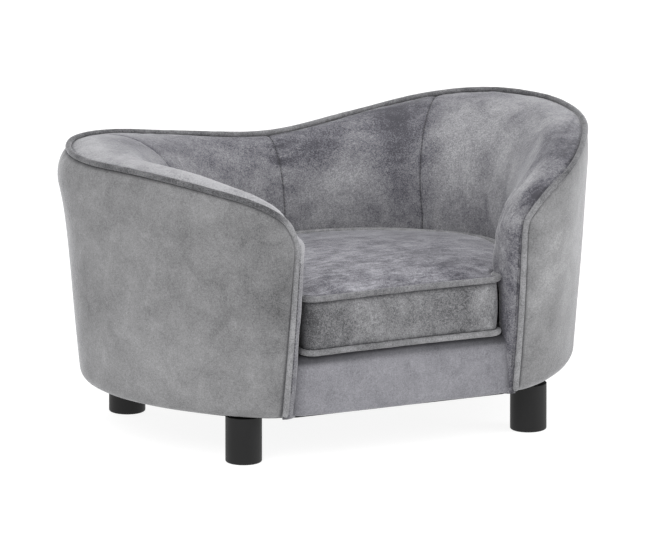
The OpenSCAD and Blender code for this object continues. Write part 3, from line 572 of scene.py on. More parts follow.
def new_material(name, **values):
    """A material with a Principled shader, its constant values set on the shader's own sockets"""
    material = bpy.data.materials.new(name)
    material.use_nodes = True
    tree = material.node_tree
    shader = tree.nodes["Principled BSDF"]
    for key, value in values.items():
        shader.inputs[key.replace("_", " ")].default_value = value
    return material, tree, shader


def bump(tree, shader, height, distance, strength, base=None):
    """Relief on the shader, over another relief where one is given"""
    inputs = {"Height": height, "Distance": distance, "Strength": strength}
    if base is not None:
        inputs["Normal"] = base
    n = node(tree, "ShaderNodeBump", inputs).outputs[0]
    tree.links.new(n, shader.inputs["Normal"])
    return n


# The plush's noises: scale, detail, roughness and distortion
BROAD, BLOTCH, BRUSHED = (10.0, 2.0, 0.5, 0.3), (30.0, 4.0, 0.62, 0.5), (70.0, 3.0, 0.6, 0.3)
TUFTS, GRAIN = (270.0, 3.0, 0.7), (700.0, 1.0, 0.6)
# How much each weighs in the tone, the reliefs' depth and strength, and the colour of the painted shade
BROAD_SHARE, BLOTCH_SHARE, TUFTS_SHARE, GRAIN_SHARE = 0.55, 1.1, 0.8, 1.25
SOFT_RELIEF, PILE_RELIEF, TUFTS_UP, GRAIN_UP = (0.003, 0.3), (0.0012, 0.55), 0.8, 0.45
PAINTED_SHADE_COLOUR, PAINTED_SHADE_SHARE = (0.03, 0.03, 0.034, 1), 0.62


def plush(name, dark, light, stroke, contrast, streaks, seed, fine=1.0):
    """Short-pile plush: blotches where the pile lies differently, brush strokes and crisp grain.
    stroke scales the cloth's coordinates, smaller along the direction of the strokes, and fine
    scales the grain."""
    material, tree, shader = new_material(name, Roughness=0.9, Sheen_Weight=0.6, Sheen_Roughness=0.3,
                                          Sheen_Tint=(0.93, 0.93, 0.96, 1), Specular_IOR_Level=0.15)
    place = vector_node(tree, "ADD", place_node(tree), (seed, seed * 0.7, seed))
    blotch = noise_node(tree, place, *BLOTCH)
    tufts = noise_node(tree, place, *TUFTS)
    grain = noise_node(tree, place, *GRAIN)
    brushed = vector_node(tree, "MULTIPLY", layer_node(tree, "cloth", "Vector"), stroke)
    tone = math_node(tree, "ADD", layer_node(tree, "tone"), 0.5)
    for part, weight in ((noise_node(tree, place, *BROAD), BROAD_SHARE * contrast),
                         (blotch, BLOTCH_SHARE * contrast), (noise_node(tree, brushed, *BRUSHED), streaks),
                         (tufts, TUFTS_SHARE * fine), (grain, GRAIN_SHARE * fine)):
        share = math_node(tree, "MULTIPLY", math_node(tree, "SUBTRACT", part, 0.5), weight)
        tone = math_node(tree, "ADD", tone, share)
    colour = ramp(tree, tone, [(0.0, [a * 0.6 for a in dark]), (0.2, dark),
                               (0.5, [(a + b) / 2 for a, b in zip(dark, light)]), (0.8, light),
                               (1.0, [a * 1.3 for a in light])])
    # Painted shade: darkens the colour in the seams' grooves, beside welts and cords, and on the rail under
    # the cushion
    shade = math_node(tree, "MULTIPLY", layer_node(tree, "crease"), PAINTED_SHADE_SHARE)
    mixed = node(tree, "ShaderNodeMix", {0: shade, 6: colour, 7: PAINTED_SHADE_COLOUR}, data_type="RGBA")
    tree.links.new(mixed.outputs[2], shader.inputs["Base Color"])
    soft = bump(tree, shader, blotch, *SOFT_RELIEF)
    bump(tree, shader, weighed(tree, tufts, TUFTS_UP, grain, GRAIN_UP), *PILE_RELIEF, soft)
    return material


def wood(name, dark, light):
    """Fine grain and broad bands along X"""
    material, tree, shader = new_material(name, Roughness=0.62)
    long = vector_node(tree, "MULTIPLY", place_node(tree), (0.12, 1.0, 1.0))
    grain = noise_node(tree, long, 260.0, 4.0, 0.6, 0.6)
    bands = wave_node(tree, "Z", Vector=long, Scale=30.0, Distortion=6.0, Detail=2.0, Detail_Scale=1.4)
    tone = weighed(tree, grain, 0.65, bands, 0.35)
    tree.links.new(ramp(tree, tone, [(0.25, dark), (0.75, light)]), shader.inputs["Base Color"])
    bump(tree, shader, grain, 0.0004, 0.4)
    return material


def plain(name, dark, light, roughness, size, relief, **values):
    """A material with soft colour and roughness variation at one size, such as plastic or foam"""
    material, tree, shader = new_material(name, **values)
    place = place_node(tree)
    fine = noise_node(tree, place, 1 / size, 3.0, 0.6)
    tone = weighed(tree, noise_node(tree, place, 22.0, 3.0, 0.5), 0.4, fine, 0.6)
    tree.links.new(ramp(tree, tone, [(0.3, dark), (0.7, light)]), shader.inputs["Base Color"])
    rough = node(tree, "ShaderNodeMapRange",
                 {"Value": fine, "To Min": roughness - 0.07, "To Max": roughness + 0.07})
    tree.links.new(rough.outputs[0], shader.inputs["Roughness"])
    bump(tree, shader, fine, relief, 0.5)
    return material


def woven(name, dark, light, pitch, relief, axes):
    """Cloth with a plain weave of the given pitch, its threads along two axes"""
    material, tree, shader = new_material(name, Roughness=0.85)
    place = place_node(tree)
    threads = [wave_node(tree, axis, Vector=place, Scale=0.3 / pitch, Distortion=0.6, Detail=1.0)
               for axis in axes]
    height = math_node(tree, "MULTIPLY", *threads)
    tone = weighed(tree, height, 0.6, noise_node(tree, place, 900.0, 2.0, 0.6), 0.5)
    tree.links.new(ramp(tree, tone, [(0.2, dark), (0.8, light)]), shader.inputs["Base Color"])
    bump(tree, shader, height, relief, 0.6)
    return material


OUTER_PLUSH = plush("plush_outer", (0.14, 0.14, 0.143), (0.30, 0.30, 0.305), (1, 0.3, 1), 0.6, 0.14, 0.0,
                    0.65)
INNER_PLUSH = plush("plush_inner", (0.12, 0.118, 0.136), (0.305, 0.304, 0.316), (1, 0.4, 1), 0.85, 0.18, 3.1)
TOP_PLUSH = plush("plush_cushion_top", (0.105, 0.103, 0.12), (0.30, 0.297, 0.322), (0.6, 2.2, 1), 1.15,
                  1.1, 5.3)
BOXING_PLUSH = plush("plush_boxing", (0.105, 0.105, 0.11), (0.27, 0.27, 0.278), (1, 0.8, 1), 1.0, 0.2, 7.7)
RAIL_PLUSH = plush("plush_rail", (0.165, 0.164, 0.18), (0.30, 0.298, 0.322), (1, 0.6, 1), 0.6, 0.15, 9.1,
                   0.7)
WELT_PLUSH = plush("plush_welt", (0.10, 0.10, 0.105), (0.24, 0.24, 0.247), (0.5, 1, 1), 0.9, 0.3, 11.9)
THREAD = plain("thread", (0.03, 0.03, 0.032), (0.06, 0.06, 0.064), 0.8, 0.0008, 0.0001)
FOAM = plain("foam", (0.60, 0.53, 0.34), (0.78, 0.71, 0.50), 0.9, 0.0012, 0.0006)
PLYWOOD = wood("plywood", (0.36, 0.23, 0.12), (0.62, 0.46, 0.28))
HARDBOARD = plain("hardboard", (0.13, 0.075, 0.04), (0.22, 0.135, 0.075), 0.55, 0.0009, 0.0002)
FOOT_BLACK = plain("foot_black", (0.003, 0.003, 0.0033), (0.006, 0.006, 0.0063), 0.55, 0.0007, 0.00008,
                   Specular_IOR_Level=0.35)
STEEL = plain("steel", (0.50, 0.51, 0.53), (0.66, 0.67, 0.69), 0.34, 0.0006, 0.00005, Metallic=1.0)
DUST_CLOTH = woven("dust_cloth", (0.012, 0.012, 0.012), (0.045, 0.045, 0.047), 0.0016, 0.0003, "XY")
ZIP_TEETH = plain("zip_teeth", (0.10, 0.10, 0.105), (0.17, 0.17, 0.175), 0.4, 0.0006, 0.0001)
ZIP_TAPE = woven("zip_tape", (0.07, 0.07, 0.075), (0.14, 0.14, 0.15), 0.0009, 0.0002, "XZ")
BY_SLOT = {"plywood": PLYWOOD, "hardboard": HARDBOARD, "steel": STEEL, "dust_cloth": DUST_CLOTH,
           "zip_tape": ZIP_TAPE, "foam": FOAM, "plush": OUTER_PLUSH, "welt": WELT_PLUSH,
           "foot_black": FOOT_BLACK}


def dress(obj, material, body, slot, *nodes):
    """Gives a piece its material and places it on its body, in place of CAD nodes"""
    obj.data.materials.clear()
    obj.data.materials.append(material)
    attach(obj, body)
    if nodes:
        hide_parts(*nodes)


# Inner covers

S = stations()

# Places painted darker or lighter: partly painted light and shade, such as the shadow beside the
# cushion and the shade where the roll turns away, partly the pile lying another way: the station,
# the distance from the welt in metres, the reach along and down, and how much
INNER_PATCHES = [
    (0.0, 0.05, 1.0, 0.06, 0.12), (6.7, 0.08, 0.6, 0.025, -0.26), (7.6, 0.05, 0.5, 0.03, -0.1),
    (8.6, 0.06, 0.5, 0.03, -0.2), (9.5, 0.09, 0.4, 0.05, 0.12), (10.8, 0.12, 0.6, 0.04, 0.32),
    (10.4, 0.03, 0.45, 0.05, -0.25), (12.1, 0.07, 0.5, 0.09, -0.3), (13.3, 0.14, 0.7, 0.14, 0.25),
    (14.8, 0.09, 1.6, 0.11, 0.10), (13.4, 0.03, 0.35, 0.02, -0.34), (17.2, 0.02, 0.7, 0.026, -0.36),
    (17.5, 0.062, 0.3, 0.02, -0.18), (18.9, 0.012, 0.7, 0.016, -0.3), (18.6, 0.052, 0.7, 0.016, 0.36),
    (16.5, 0.075, 0.6, 0.022, 0.12), (15.4, 0.15, 1.0, 0.06, 0.12), (20.0, 0.055, 0.35, 0.04, 0.16),
    (20.8, 0.07, 0.15, 0.08, -0.16), (20.25, 0.16, 0.5, 0.05, -0.5), (11.5, 0.045, 3.5, 0.06, -0.09),
]
# Painted light and shade on the outer cover, such as the fill light and sheen on its right side, in the same
# columns as above
OUTER_PATCHES = [
    (1.0, 0.10, 1.2, 0.12, -0.18), (2.2, 0.04, 0.5, 0.04, -0.12), (5.4, 0.05, 1.2, 0.05, -0.10),
    (6.8, 0.15, 0.4, 0.3, 0.35), (16.8, 0.12, 1.0, 0.12, 0.35), (18.6, 0.12, 0.8, 0.07, 0.28),
    (4.0, 0.26, 2.0, 0.06, 0.14),
]
# Painted light on the lit top of the left arm, where its light nap lies: how bright, how soft its
# end is, and how far down it reaches at some stations
LIT_NAP, LIT_NAP_SOFT = 0.34, 0.004
LIT_NAP_AT = [-1, 0, 3, 4.7, 5.4, 6.2, 6.75, 7.0, 7.25]
LIT_NAP_DOWN = [0.03, 0.035, 0.042, 0.038, 0.042, 0.048, 0.038, 0.026, 0]
# The gathers' strokes beside the welt at some stations: how dark, and how far down
STROKE_AT = [-1, 5.5, 8, 15.5, 16.6, 19.2, 21]
STROKE_DARK = [0.12, 0.12, 0.9, 0.9, 1.25, 1.0, 0.8]
STROKE_DOWN = [0.022, 0.022, 0.022, 0.022, 0.036, 0.022, 0.022]
# Waves of the cloth: how much they are drawn out along and down it, their seed, size and height,
# and apart from them how far they reach from a seam, or how far from it they start
GATHERS, GATHERS_REACH = (1, 0.25, 2.0, 0.016, 0.0011), 0.020
SEAM_GATHERS, SEAM_GATHERS_REACH = (0.3, 1, 8.0, 0.014, 0.0009), 0.014
PUFF, PUFF_FROM = (1, 1, 5.0, 0.075, 0.0018), 0.03
STROKES = (1, 0.3, 3.0, 0.011, 1)
SEAM_STROKES, SEAM_STROKES_REACH = (0.3, 1, 6.0, 0.012, 0.5), 0.018
OUTER_FOLDS, OUTER_FOLDS_REACH = (1, 0.2, 12.0, 0.018, 0.0012), 0.022
SWAY, SWAY_FROM = (1, 0.45, 15.0, 0.11, 0.0016), 0.05
RAIL_RIPPLE, RAIL_RIPPLE_FROM = (1, 0.6, 21.0, 0.06, 0.0010), 0.04
SIDE_RIPPLE, SIDE_RIPPLE_REACH = (1, 0.4, 31.0, 0.02, 0.0006), 0.015
# How far a seam draws the cover in, how wide and how sharply
WELT_TUCK, WELT_TUCK_W = 0.0022, 0.0045
SEAM_TUCK, SEAM_TUCK_W, SEAM_TUCK_SHARP = 0.0020, 0.0030, 1.2
# How far from a cover's edges, its lap and its ends the waves and the tuck are whole
FLAT_EDGE, FLAT_LAP, FLAT_SIDE = 0.004, 0.02, 0.01
# How dark the seams' lines of painted shade are, on the left up to a station, and elsewhere
SEAM_LINE_W, LEFT_SEAM_DARK, LEFT_SEAM_TO, SEAM_DARK = 0.0011, 0.3, 9, 0.75
# The arms' stuffing: the heights at which it begins over the cushion and low beside it
BULGE_Z, BULGE_RISE, LOW_Z, LOW_RISE, LOW_SHARE = 0.208, 0.032, 0.14, 0.02, 0.22
# How many stations from the middle a side seam's draw reaches
SEAM_DRAW_REACH = 5
# The arm tips' padding: where its foot begins, its soft edges, and how it flattens to the inside
FACING_LOW_Z, FACING_LIFT, FACING_EDGE_W, FACING_TOP_W = 0.2, 0.0005, 0.005, 0.007
FACING_END_RISE, FACING_END_SHARE = 2.5, 0.35
# How many columns beside an arm tip's edge are rounded, and how many times
ROUND_COLUMNS, ROUND_TIMES = 9.0, 14
INNER_PIECES = [
    ("inner_left", ["inner_cover_left", "arm_facing_left"]),
    ("inner_back_left", ["inner_cover_back_left"]),
    ("inner_back_right", ["inner_cover_back_right"]),
    ("inner_right", ["inner_cover_right", "arm_facing_right"]),
]


def folds(waves, along, down):
    """Height of one kind of waves over a grid, before it fades"""
    along_share, down_share, seed, size, height = waves
    return height * wave(along * along_share, down * down_share, seed, size)


def patches(table, s, down):
    """Tone at stations s and distances down from the welt: painted light and shade, with the pile's own tone
    """
    return sum(amount * np.exp(-((s - at) / wide) ** 2 - ((down - deep) / long) ** 2)
               for at, deep, wide, long, amount in table)


def welt_crease(d):
    """Painted shade: a dark line beside a welt, d from its seam"""
    return fades(d, DRAWN_WELT_D * WELT_SHADE_SHARE, WELT_SHADE_W)


def column_at(s):
    """The inner grid's column nearest a station"""
    return FACING_COLUMNS + int(np.argmin(np.abs(S - s)))


def inner_tone(along, down, to_welt, to_seam):
    """Tone over the whole inner surface, partly painted light and shade, its arm tips' columns counted as the
    stations past the ends
    """
    step = np.arange(FACING_COLUMNS) / FACING_COLUMNS
    s = np.concatenate([step - 1, S, LAST + 1 - step[::-1]])
    # Painted light on the left arm's lit top, then the dark strokes of the gathers, then the patches of
    # painted light and shade
    reach = np.interp(s, LIT_NAP_AT, LIT_NAP_DOWN)[:, None]
    tone = LIT_NAP / (1 + np.exp(np.clip((down - reach) / LIT_NAP_SOFT, -30, 30))) * (reach > 0)
    dark, deep = (np.interp(s, STROKE_AT, values)[:, None] for values in (STROKE_DARK, STROKE_DOWN))
    tone -= dark * np.maximum(folds(STROKES, along, down), 0) * np.exp(-to_welt / deep)
    tone -= np.maximum(folds(SEAM_STROKES, along, down), 0) * np.exp(-to_seam / SEAM_STROKES_REACH)
    return tone + patches(INNER_PATCHES, s[:, None], down)


def inner_grid(deep):
    """Inner surface from the left arm's welt over its tip, round the seat and over the right tip.
    Rows run from the welt over the roll and down to the base board."""
    near = -np.sign(S - MID) * np.sin(np.pi * np.clip(np.abs(S - MID) / SEAM_DRAW_REACH, 0, 1)) ** 2
    top_draw, low_draw = (near * sign * np.where(S < MID, SEAM_DRAWS[0][k], SEAM_DRAWS[1][k])
                          for k, sign in ((0, 1), (1, -1)))
    rows = [roll_point(S + top_draw * (1 - f) + low_draw * f, np.pi / 2 * f, deep)
            for f in np.linspace(0, 1, ROLL_ROWS) ** ROLL_SPREAD]
    end_z = rows[-1][:, 2]
    rows += [seat_point(S + low_draw, deep, end_z + (BASE_TOP_Z + GAP - end_z) * k / WALL_ROWS)
             for k in range(1, WALL_ROWS + 1)]
    grid = np.stack(rows, axis=1)
    ahead = unit(np.gradient(seat_at(S), axis=0))
    side = np.column_stack([ahead[:, 1], -ahead[:, 0], np.zeros(len(S))])
    z = grid[..., 2]
    fade = np.clip((np.where(S < MID, *ARM_IN_TOPS)[:, None] - z) / ARM_IN_FADE, 0, 1)
    over = soft_step(np.clip((z - BULGE_Z) / BULGE_RISE, 0, 1) * fade)
    low = np.clip((z - LOW_Z) / LOW_RISE, 0, 1) * fade
    start = np.clip(np.arange(len(rows)) / (WELT_ROWS_SHARE * ROLL_ROWS), 0, 1)
    bulge = ((1 - LOW_SHARE) * over + LOW_SHARE * low) * start * (2 - start)
    return grid + (smooth(ARMS, S)[:, None] * bulge)[..., None] * side[:, None]


def facing_grid(column, s, deep):
    """Padded tip of an arm between the welt down its front and a column of the inner surface"""
    run = lengths(column, 0)
    up = 1 - run / run[-1]
    edge = wall_point(np.full(len(up), s), 0, BASE_Z + up * (TIP_H - BASE_Z))
    n = inward(np.array([float(s)]))[0]
    out = (1 if s < MID else -1) * np.array([n[1], -n[0], 0])
    column = column.copy()
    end_z = column[-1, 2]
    column[:, 2] -= (end_z - BASE_Z - FACING_LIFT) * np.clip(
        (FACING_LOW_Z - column[:, 2]) / (FACING_LOW_Z - end_z), 0, 1)
    width = np.linalg.norm(column - edge, axis=1)
    from_top = 1 - np.exp(-run / FACING_TOP_W)
    columns = []
    for f in np.arange(FACING_COLUMNS) / FACING_COLUMNS:
        swell = FACING_SWELL * min(1, (1 - f) * FACING_END_RISE + FACING_END_SHARE)
        swell *= 1 - np.exp(-f * width / FACING_EDGE_W)
        columns.append(edge * (1 - f) + column * f + out * ((swell - deep) * from_top)[:, None])
    return np.stack(columns)


def whole_inner(deep):
    """The inner surface with both arm tips, rounded where they meet"""
    middle = inner_grid(deep)
    left, right = facing_grid(middle[0], 0, deep), facing_grid(middle[-1], LAST, deep)
    grid = np.concatenate([left, middle, right[::-1]])
    n, k = len(grid), FACING_COLUMNS
    reach = np.zeros(n)
    for join in (k, n - 1 - k):
        reach = np.maximum(reach, np.clip(1 - (np.abs(np.arange(n) - join) / ROUND_COLUMNS) ** 2, 0, 1))
    for _ in range(ROUND_TIMES):
        grid = grid + (eased(grid, 1) - grid) * reach[:, None, None]
    return grid


def make_inner_covers():
    """Four panels sewn together over the wings and the back, the outer two over the arm tips too"""
    grid = whole_inner(0.0)
    out = facing(grid, (len(grid) // 2, -2), -1)
    along, down = lengths(grid, 0), lengths(grid, 1)
    to_welt = np.minimum(down, np.minimum(along, along[-1] - along))
    seams = [column_at(seam) for seam in SEAMS]
    to_seam = np.min([np.abs(along - along[column]) for column in seams], axis=0)
    lift = (folds(GATHERS, along, down) * np.exp(-to_welt / GATHERS_REACH)
            + folds(PUFF, along, down) * np.clip(to_seam / PUFF_FROM, 0, 1)
            + folds(SEAM_GATHERS, along, down) * np.exp(-to_seam / SEAM_GATHERS_REACH))
    tuck = (WELT_TUCK * np.exp(-to_welt / WELT_TUCK_W)
            + SEAM_TUCK * np.exp(-(to_seam / SEAM_TUCK_W) ** SEAM_TUCK_SHARP))
    front = grid + out * (lift * np.clip(to_welt / FLAT_EDGE, 0, 1) - tuck)[..., None]
    back = front - out * SKIN_T
    seam_dark = np.where(np.arange(len(grid)) < column_at(LEFT_SEAM_TO), LEFT_SEAM_DARK, SEAM_DARK)[:, None]
    # Painted shade beside the welt and in the seams' grooves
    crease = welt_crease(to_welt) + np.exp(-(to_seam / SEAM_LINE_W) ** 2) * seam_dark
    cloth = cloth_at(along, down)
    tone = inner_tone(along, down, to_welt, to_seam)
    ends = [0, *seams, len(grid) - 1]
    for i, (name, nodes) in enumerate(INNER_PIECES):
        part = slice(ends[i], ends[i + 1] + 1)
        shifted = cloth[part] + [0, 0, PIECE_SHIFT * i]
        obj = panel(name, front[part], back[part], shifted, crease[part], tone[part])
        dress(obj, INNER_PLUSH, "sofa", "plush", *nodes)
    sew_inner_covers(front, out, grid, down, seams)


def sew_inner_covers(front, out, grid, down, seams):
    """Stitches along the seams, and a row of them beside the welt on each arm's front"""
    for name, column in zip(("left", "middle", "right"), seams):
        obj = stitches("stitches_" + name, front[column, 2:-6], out[column, 2:-6], SEAM_STITCH, SEAM_THREAD_R)
        dress(obj, THREAD, "sofa", "plush")
    for name, turn in (("left", 1), ("right", -1)):
        line, ups = flange_line(front[::turn], out[::turn], lengths(grid[::turn], 0), down[::turn])
        obj = stitches("flange_stitches_" + name, line, ups, FLANGE_STITCH, FLANGE_THREAD_R)
        dress(obj, THREAD, "sofa", "plush")


def flange_line(front, out, along, down):
    """A line beside the welt, up an arm's front and some way along its top"""
    line, ups = [], []
    reach = np.arange(FACING_COLUMNS + FLANGE_COLUMNS)
    for row in range(down.shape[1] - 4, 0, -1):
        if down[FACING_COLUMNS, row] > FLANGE * FLANGE_CORNER_SHARE:
            column = np.interp(FLANGE, along[reach, row], reach)
            line.append(sampled(front, column, row))
            ups.append(sampled(out, column, row))
    for column in range(FACING_COLUMNS, FACING_COLUMNS + 2 * STATION_STEPS):
        if along[column, 0] > FLANGE * FLANGE_CORNER_SHARE:
            row = np.interp(FLANGE, down[column], np.arange(down.shape[1]))
            line.append(sampled(front.swapaxes(0, 1), row, column))
            ups.append(sampled(out.swapaxes(0, 1), row, column))
    line, ups = eased(np.array(line), FLANGE_ROUNDS), eased(np.array(ups), FLANGE_ROUNDS)
    line, ups = resampled(line, FLANGE_STEP, ups)
    return line, unit(ups)


def sampled(grid, place, other):
    """A grid's value between two columns"""
    k = min(int(place), len(grid) - 2)
    return grid[k, other] + (grid[k + 1, other] - grid[k, other]) * (place - k)


# Outer cover

def outer_grid():
    """Outer surface, its rows from the lap under the base up to the welt"""
    low = BASE_Z + EDGE_R
    rows = [wall_point(S, EDGE_R + EDGE_LAP, np.full(len(S), BASE_Z))]
    for a in np.radians(np.linspace(90, 0, 10)):
        z = np.full(len(S), low - EDGE_R * math.sin(a))
        rows.append(wall_point(S, EDGE_R - EDGE_R * math.cos(a) - swollen(S, z), z))
    for k in range(1, OUTER_ROWS + 1):
        z = low + (welt_z(S) - low) * (1 - (1 - k / OUTER_ROWS) ** OUTER_SPREAD)
        rows.append(wall_point(S, -swollen(S, z), z))
    return np.stack(rows, axis=1)


def make_outer_cover():
    """One cloth panel round the outside, from arm tip to arm tip"""
    grid = outer_grid()
    out = facing(grid, (len(grid) // 2, len(grid[0]) // 2), 1)
    along, up = lengths(grid, 0), lengths(grid, 1)
    to_top = up[:, -1:] - up
    side = np.minimum(along, along[-1] - along)
    to_welt = np.minimum(to_top, side)
    lift = (folds(OUTER_FOLDS, along, up) * np.exp(-to_top / OUTER_FOLDS_REACH)
            + folds(SWAY, along, up) * np.clip(to_top / SWAY_FROM, 0, 1))
    flat = np.clip(to_welt / FLAT_EDGE, 0, 1) * np.clip(up / FLAT_LAP, 0, 1)
    tuck = WELT_TUCK * np.exp(-to_top / WELT_TUCK_W) * np.clip(side / FLAT_SIDE, 0, 1)
    front = grid + out * (lift * flat - tuck)[..., None]
    obj = panel("outer_shell_cover", front, front - out * SKIN_T, cloth_at(along, up),
                welt_crease(to_welt), patches(OUTER_PATCHES, S[:, None], to_top))
    dress(obj, OUTER_PLUSH, "sofa", "plush", "outer_cover")


def make_shell_welt():
    """Welt along the whole edge, up one arm tip, round the top and down the other"""
    s = np.linspace(0, LAST, LAST * STATION_STEPS + 1)
    heights = np.linspace(BASE_Z + WELT_END_UP, TIP_H - WELT_D, 40)
    tips, leans = [], []
    for end, side in ((0.0, TIP_BESIDE), (float(LAST), LAST - TIP_BESIDE)):
        at = np.full(len(heights), end)
        tips.append(wall_point(at, 0, heights))
        beside = unit(wall_point(np.full(len(heights), side), 0, heights) - tips[-1])
        leans.append(-unit(beside + TIP_IN_SHARE * inward(at)))
    top = wall_point(s, 0, welt_z(s))
    down = unit(wall_point(s, 0, welt_z(s) - WELT_D) - top)
    over = unit(roll_point(s, TOP_TURN, 0) - top)
    path = np.concatenate([tips[0], top, tips[1][::-1]])
    lean = np.concatenate([leans[0], -unit(down + TOP_OVER_SHARE * over), leans[1][::-1]])
    path, lean = resampled(path, WELT_STEP, lean)
    path, lean = eased(path, WELT_ROUNDS), unit(eased(lean, LEAN_ROUNDS))
    path = path + lean * DRAWN_WELT_D * WELT_PROUD_SHARE
    x, z = path[:, 0], path[:, 2]
    # Painted sheen of the pile: lighter low on the arm fronts, darker on the tops, more so on the left
    tone = WELT_LIGHT * np.clip((WELT_LIGHT_Z - z) / WELT_LIGHT_FADE, 0, 1)
    tone -= np.clip((z - WELT_DARK_Z) / WELT_DARK_FADE, 0, 1) * np.where(x < 0, *WELT_DARKS)
    obj = tube("edge_welt", path, lean, DRAWN_WELT_D / 2, sides=20, seed=4.0, wobble=0.06, tone=tone)
    dress(obj, WELT_PLUSH, "sofa", "welt", "shell_welt")


# Padding and front rail

def make_padding():
    """Foam over the wings and the back, under the inner covers"""
    deep = SKIN_T + PAD_CLEAR
    angles = np.pi / 2 * np.linspace(PAD_FROM_TURN, 1, PAD_ROLL_ROWS)
    for name, cad, a, b in PADDINGS:
        s = np.linspace(a, b, int((b - a) * PAD_STEPS) + 1)
        grids = []
        for d in (deep, deep + PAD_T - PAD_THINNER):
            rows = [roll_point(s, t, d) for t in angles]
            end_z = rows[-1][:, 2]
            room = np.linalg.norm(wall_point(s, 0, end_z) - seat_point(s, 0, end_z), axis=1)
            low_deep = np.minimum(d, room - PAD_TO_OUTER)[:, None]
            for k in range(1, PAD_WALL_ROWS + 1):
                z = end_z + (BASE_TOP_Z + PAD_FROM_BOARD - end_z) * k / PAD_WALL_ROWS
                rows.append(joined(seat_at(s) + unit(wall_point(s, 0, z)[:, :2] - seat_at(s)) * low_deep, z))
            grids.append(np.stack(rows, axis=1))
        make_foam(name, cad, "sofa", *grids)


def make_foam(name, cad, body, front, back):
    """A foam pad between two grids"""
    none = np.zeros(front.shape)
    obj = panel(name, front, back, none, none[..., 0])
    dress(obj, FOAM, body, "foam", cad)


def rail_profile(top):
    """Side view of the rail's cover from its flap on the deck over the front to the lap below"""
    r = RAIL_R
    low = BASE_Z + r
    profile = [(y, top) for y in RAIL_FLAP]
    profile += [(r - r * math.sin(a), top - r + r * math.cos(a)) for a in np.linspace(0, math.pi / 2, 8)]
    profile += [(0, top - r - (top - r - low) * k / 16) for k in range(1, 17)]
    profile += [(r - r * math.cos(a), low - r * math.sin(a)) for a in np.linspace(0.2, math.pi / 2, 7)]
    return np.array(profile + [(RAIL_LAP, BASE_Z)]).T


def make_front_rail():
    """Padded front rail between the arms, its cover turned over the deck and under the base"""
    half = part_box("front_rail_cover")[1][0]
    top = DECK_Z + SKIN_T
    y, z = rail_profile(top)
    columns = np.linspace(-half, half, RAIL_COLUMNS)
    grid = np.stack([np.column_stack([np.full(len(y), x), RAIL_Y + y, z]) for x in columns])
    out = facing(grid, (45, 15), -1)
    along, down = lengths(grid, 0), lengths(grid, 1)
    ends = np.minimum(along, along[-1] - along)
    height = np.clip((top - grid[..., 2]) / (top - BASE_Z), 0, 1)
    puff = RAIL_PUFF * np.clip(ends / RAIL_PUFF_FROM, 0, 1) ** 0.5 * np.sin(np.pi * height)
    ripple = folds(RAIL_RIPPLE, along, down) * np.clip(down / RAIL_RIPPLE_FROM, 0, 1)
    end_crease = np.exp(-ends / RAIL_END_W)
    front = grid + out * (puff + ripple - RAIL_END_TUCK * end_crease)[..., None]
    # Painted shadow of the cushion along the rail's top, stronger towards its ends, with painted shade at the
    # ends
    under = fades(top - front[..., 2], RAIL_SHADE_DOWN, RAIL_SHADE_SOFT)
    under *= RAIL_MID_SHADOW + RAIL_CORNER_SHADOW * (front[..., 0] / half) ** 2
    crease = np.maximum(end_crease * RAIL_END_SHADE, under)
    cover = panel("rail_cover", front, front - out * SKIN_T, cloth_at(along, down, 2.0), crease)
    dress(cover, RAIL_PLUSH, "sofa", "plush", "front_rail_cover")
    inner = front[:, RAIL_PAD_ROWS] - out[:, RAIL_PAD_ROWS] * (SKIN_T + RAIL_PAD_CLEAR)
    behind = inner.copy()
    behind[..., 1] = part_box("front_rail_pad")[1][1]
    make_foam("rail_foam", "front_rail_pad", "sofa", inner, behind)


# Cushion

def cushion_outline(inset, rear=150, corner=14, front=60):
    """Plan of the cushion: the seat's curve at the sides and back, rounded corners in front"""
    e = inset - CUSHION_INSET
    x = MOUTH_X - inset
    r = CUSHION_R - e
    y = CUSHION_Y + CUSHION_WELT_D / 2 + e
    w = x - r
    back = seat_curve(end_turn(x, inset) * np.linspace(-1, 1, rear + 1), inset)
    turn = np.pi / 2 * np.linspace(0, 1, corner + 1)
    bend = np.column_stack([w + r * np.cos(turn), y + r - r * np.sin(turn)])
    f = 1 - 2 * np.arange(1, front) / front
    line = np.column_stack([w * f, y + FRONT_DRAW * (1 - f * f)])
    return np.concatenate([back, bend, line, bend[::-1] * [-1, 1]])


def cushion_rings():
    """Rings of the stuffed body: the bottom from its middle out, the boxing up, the top inwards"""
    rim = cushion_outline(PANEL_INSET - RIM_OUT) - CUSHION_MID
    low, high = CUSHION_Z + SKIN_T, CUSHION_TOP_Z
    rings = [joined(CUSHION_MID + rim * k, low) for k in np.linspace(BOTTOM_MIDDLE, NEAR_RIM, BOTTOM_RINGS)]
    for f in (1 - np.cos(np.pi * np.linspace(0, 1, BOXING_ROWS))) / 2:
        inset = PANEL_INSET - BOXING_OUT - BOXING_BOW * math.sin(math.pi * f)
        rings.append(joined(cushion_outline(inset), low + BOXING_LIFT + (high - low - BOXING_LIFT) * f))
    rings += [joined(CUSHION_MID + rim * k, high + CUSHION_CROWN * CROWN_FILL * (1 - k ** 3))
              for k in np.linspace(NEAR_RIM, TOP_MIDDLE, TOP_RINGS)]
    return np.array(rings)


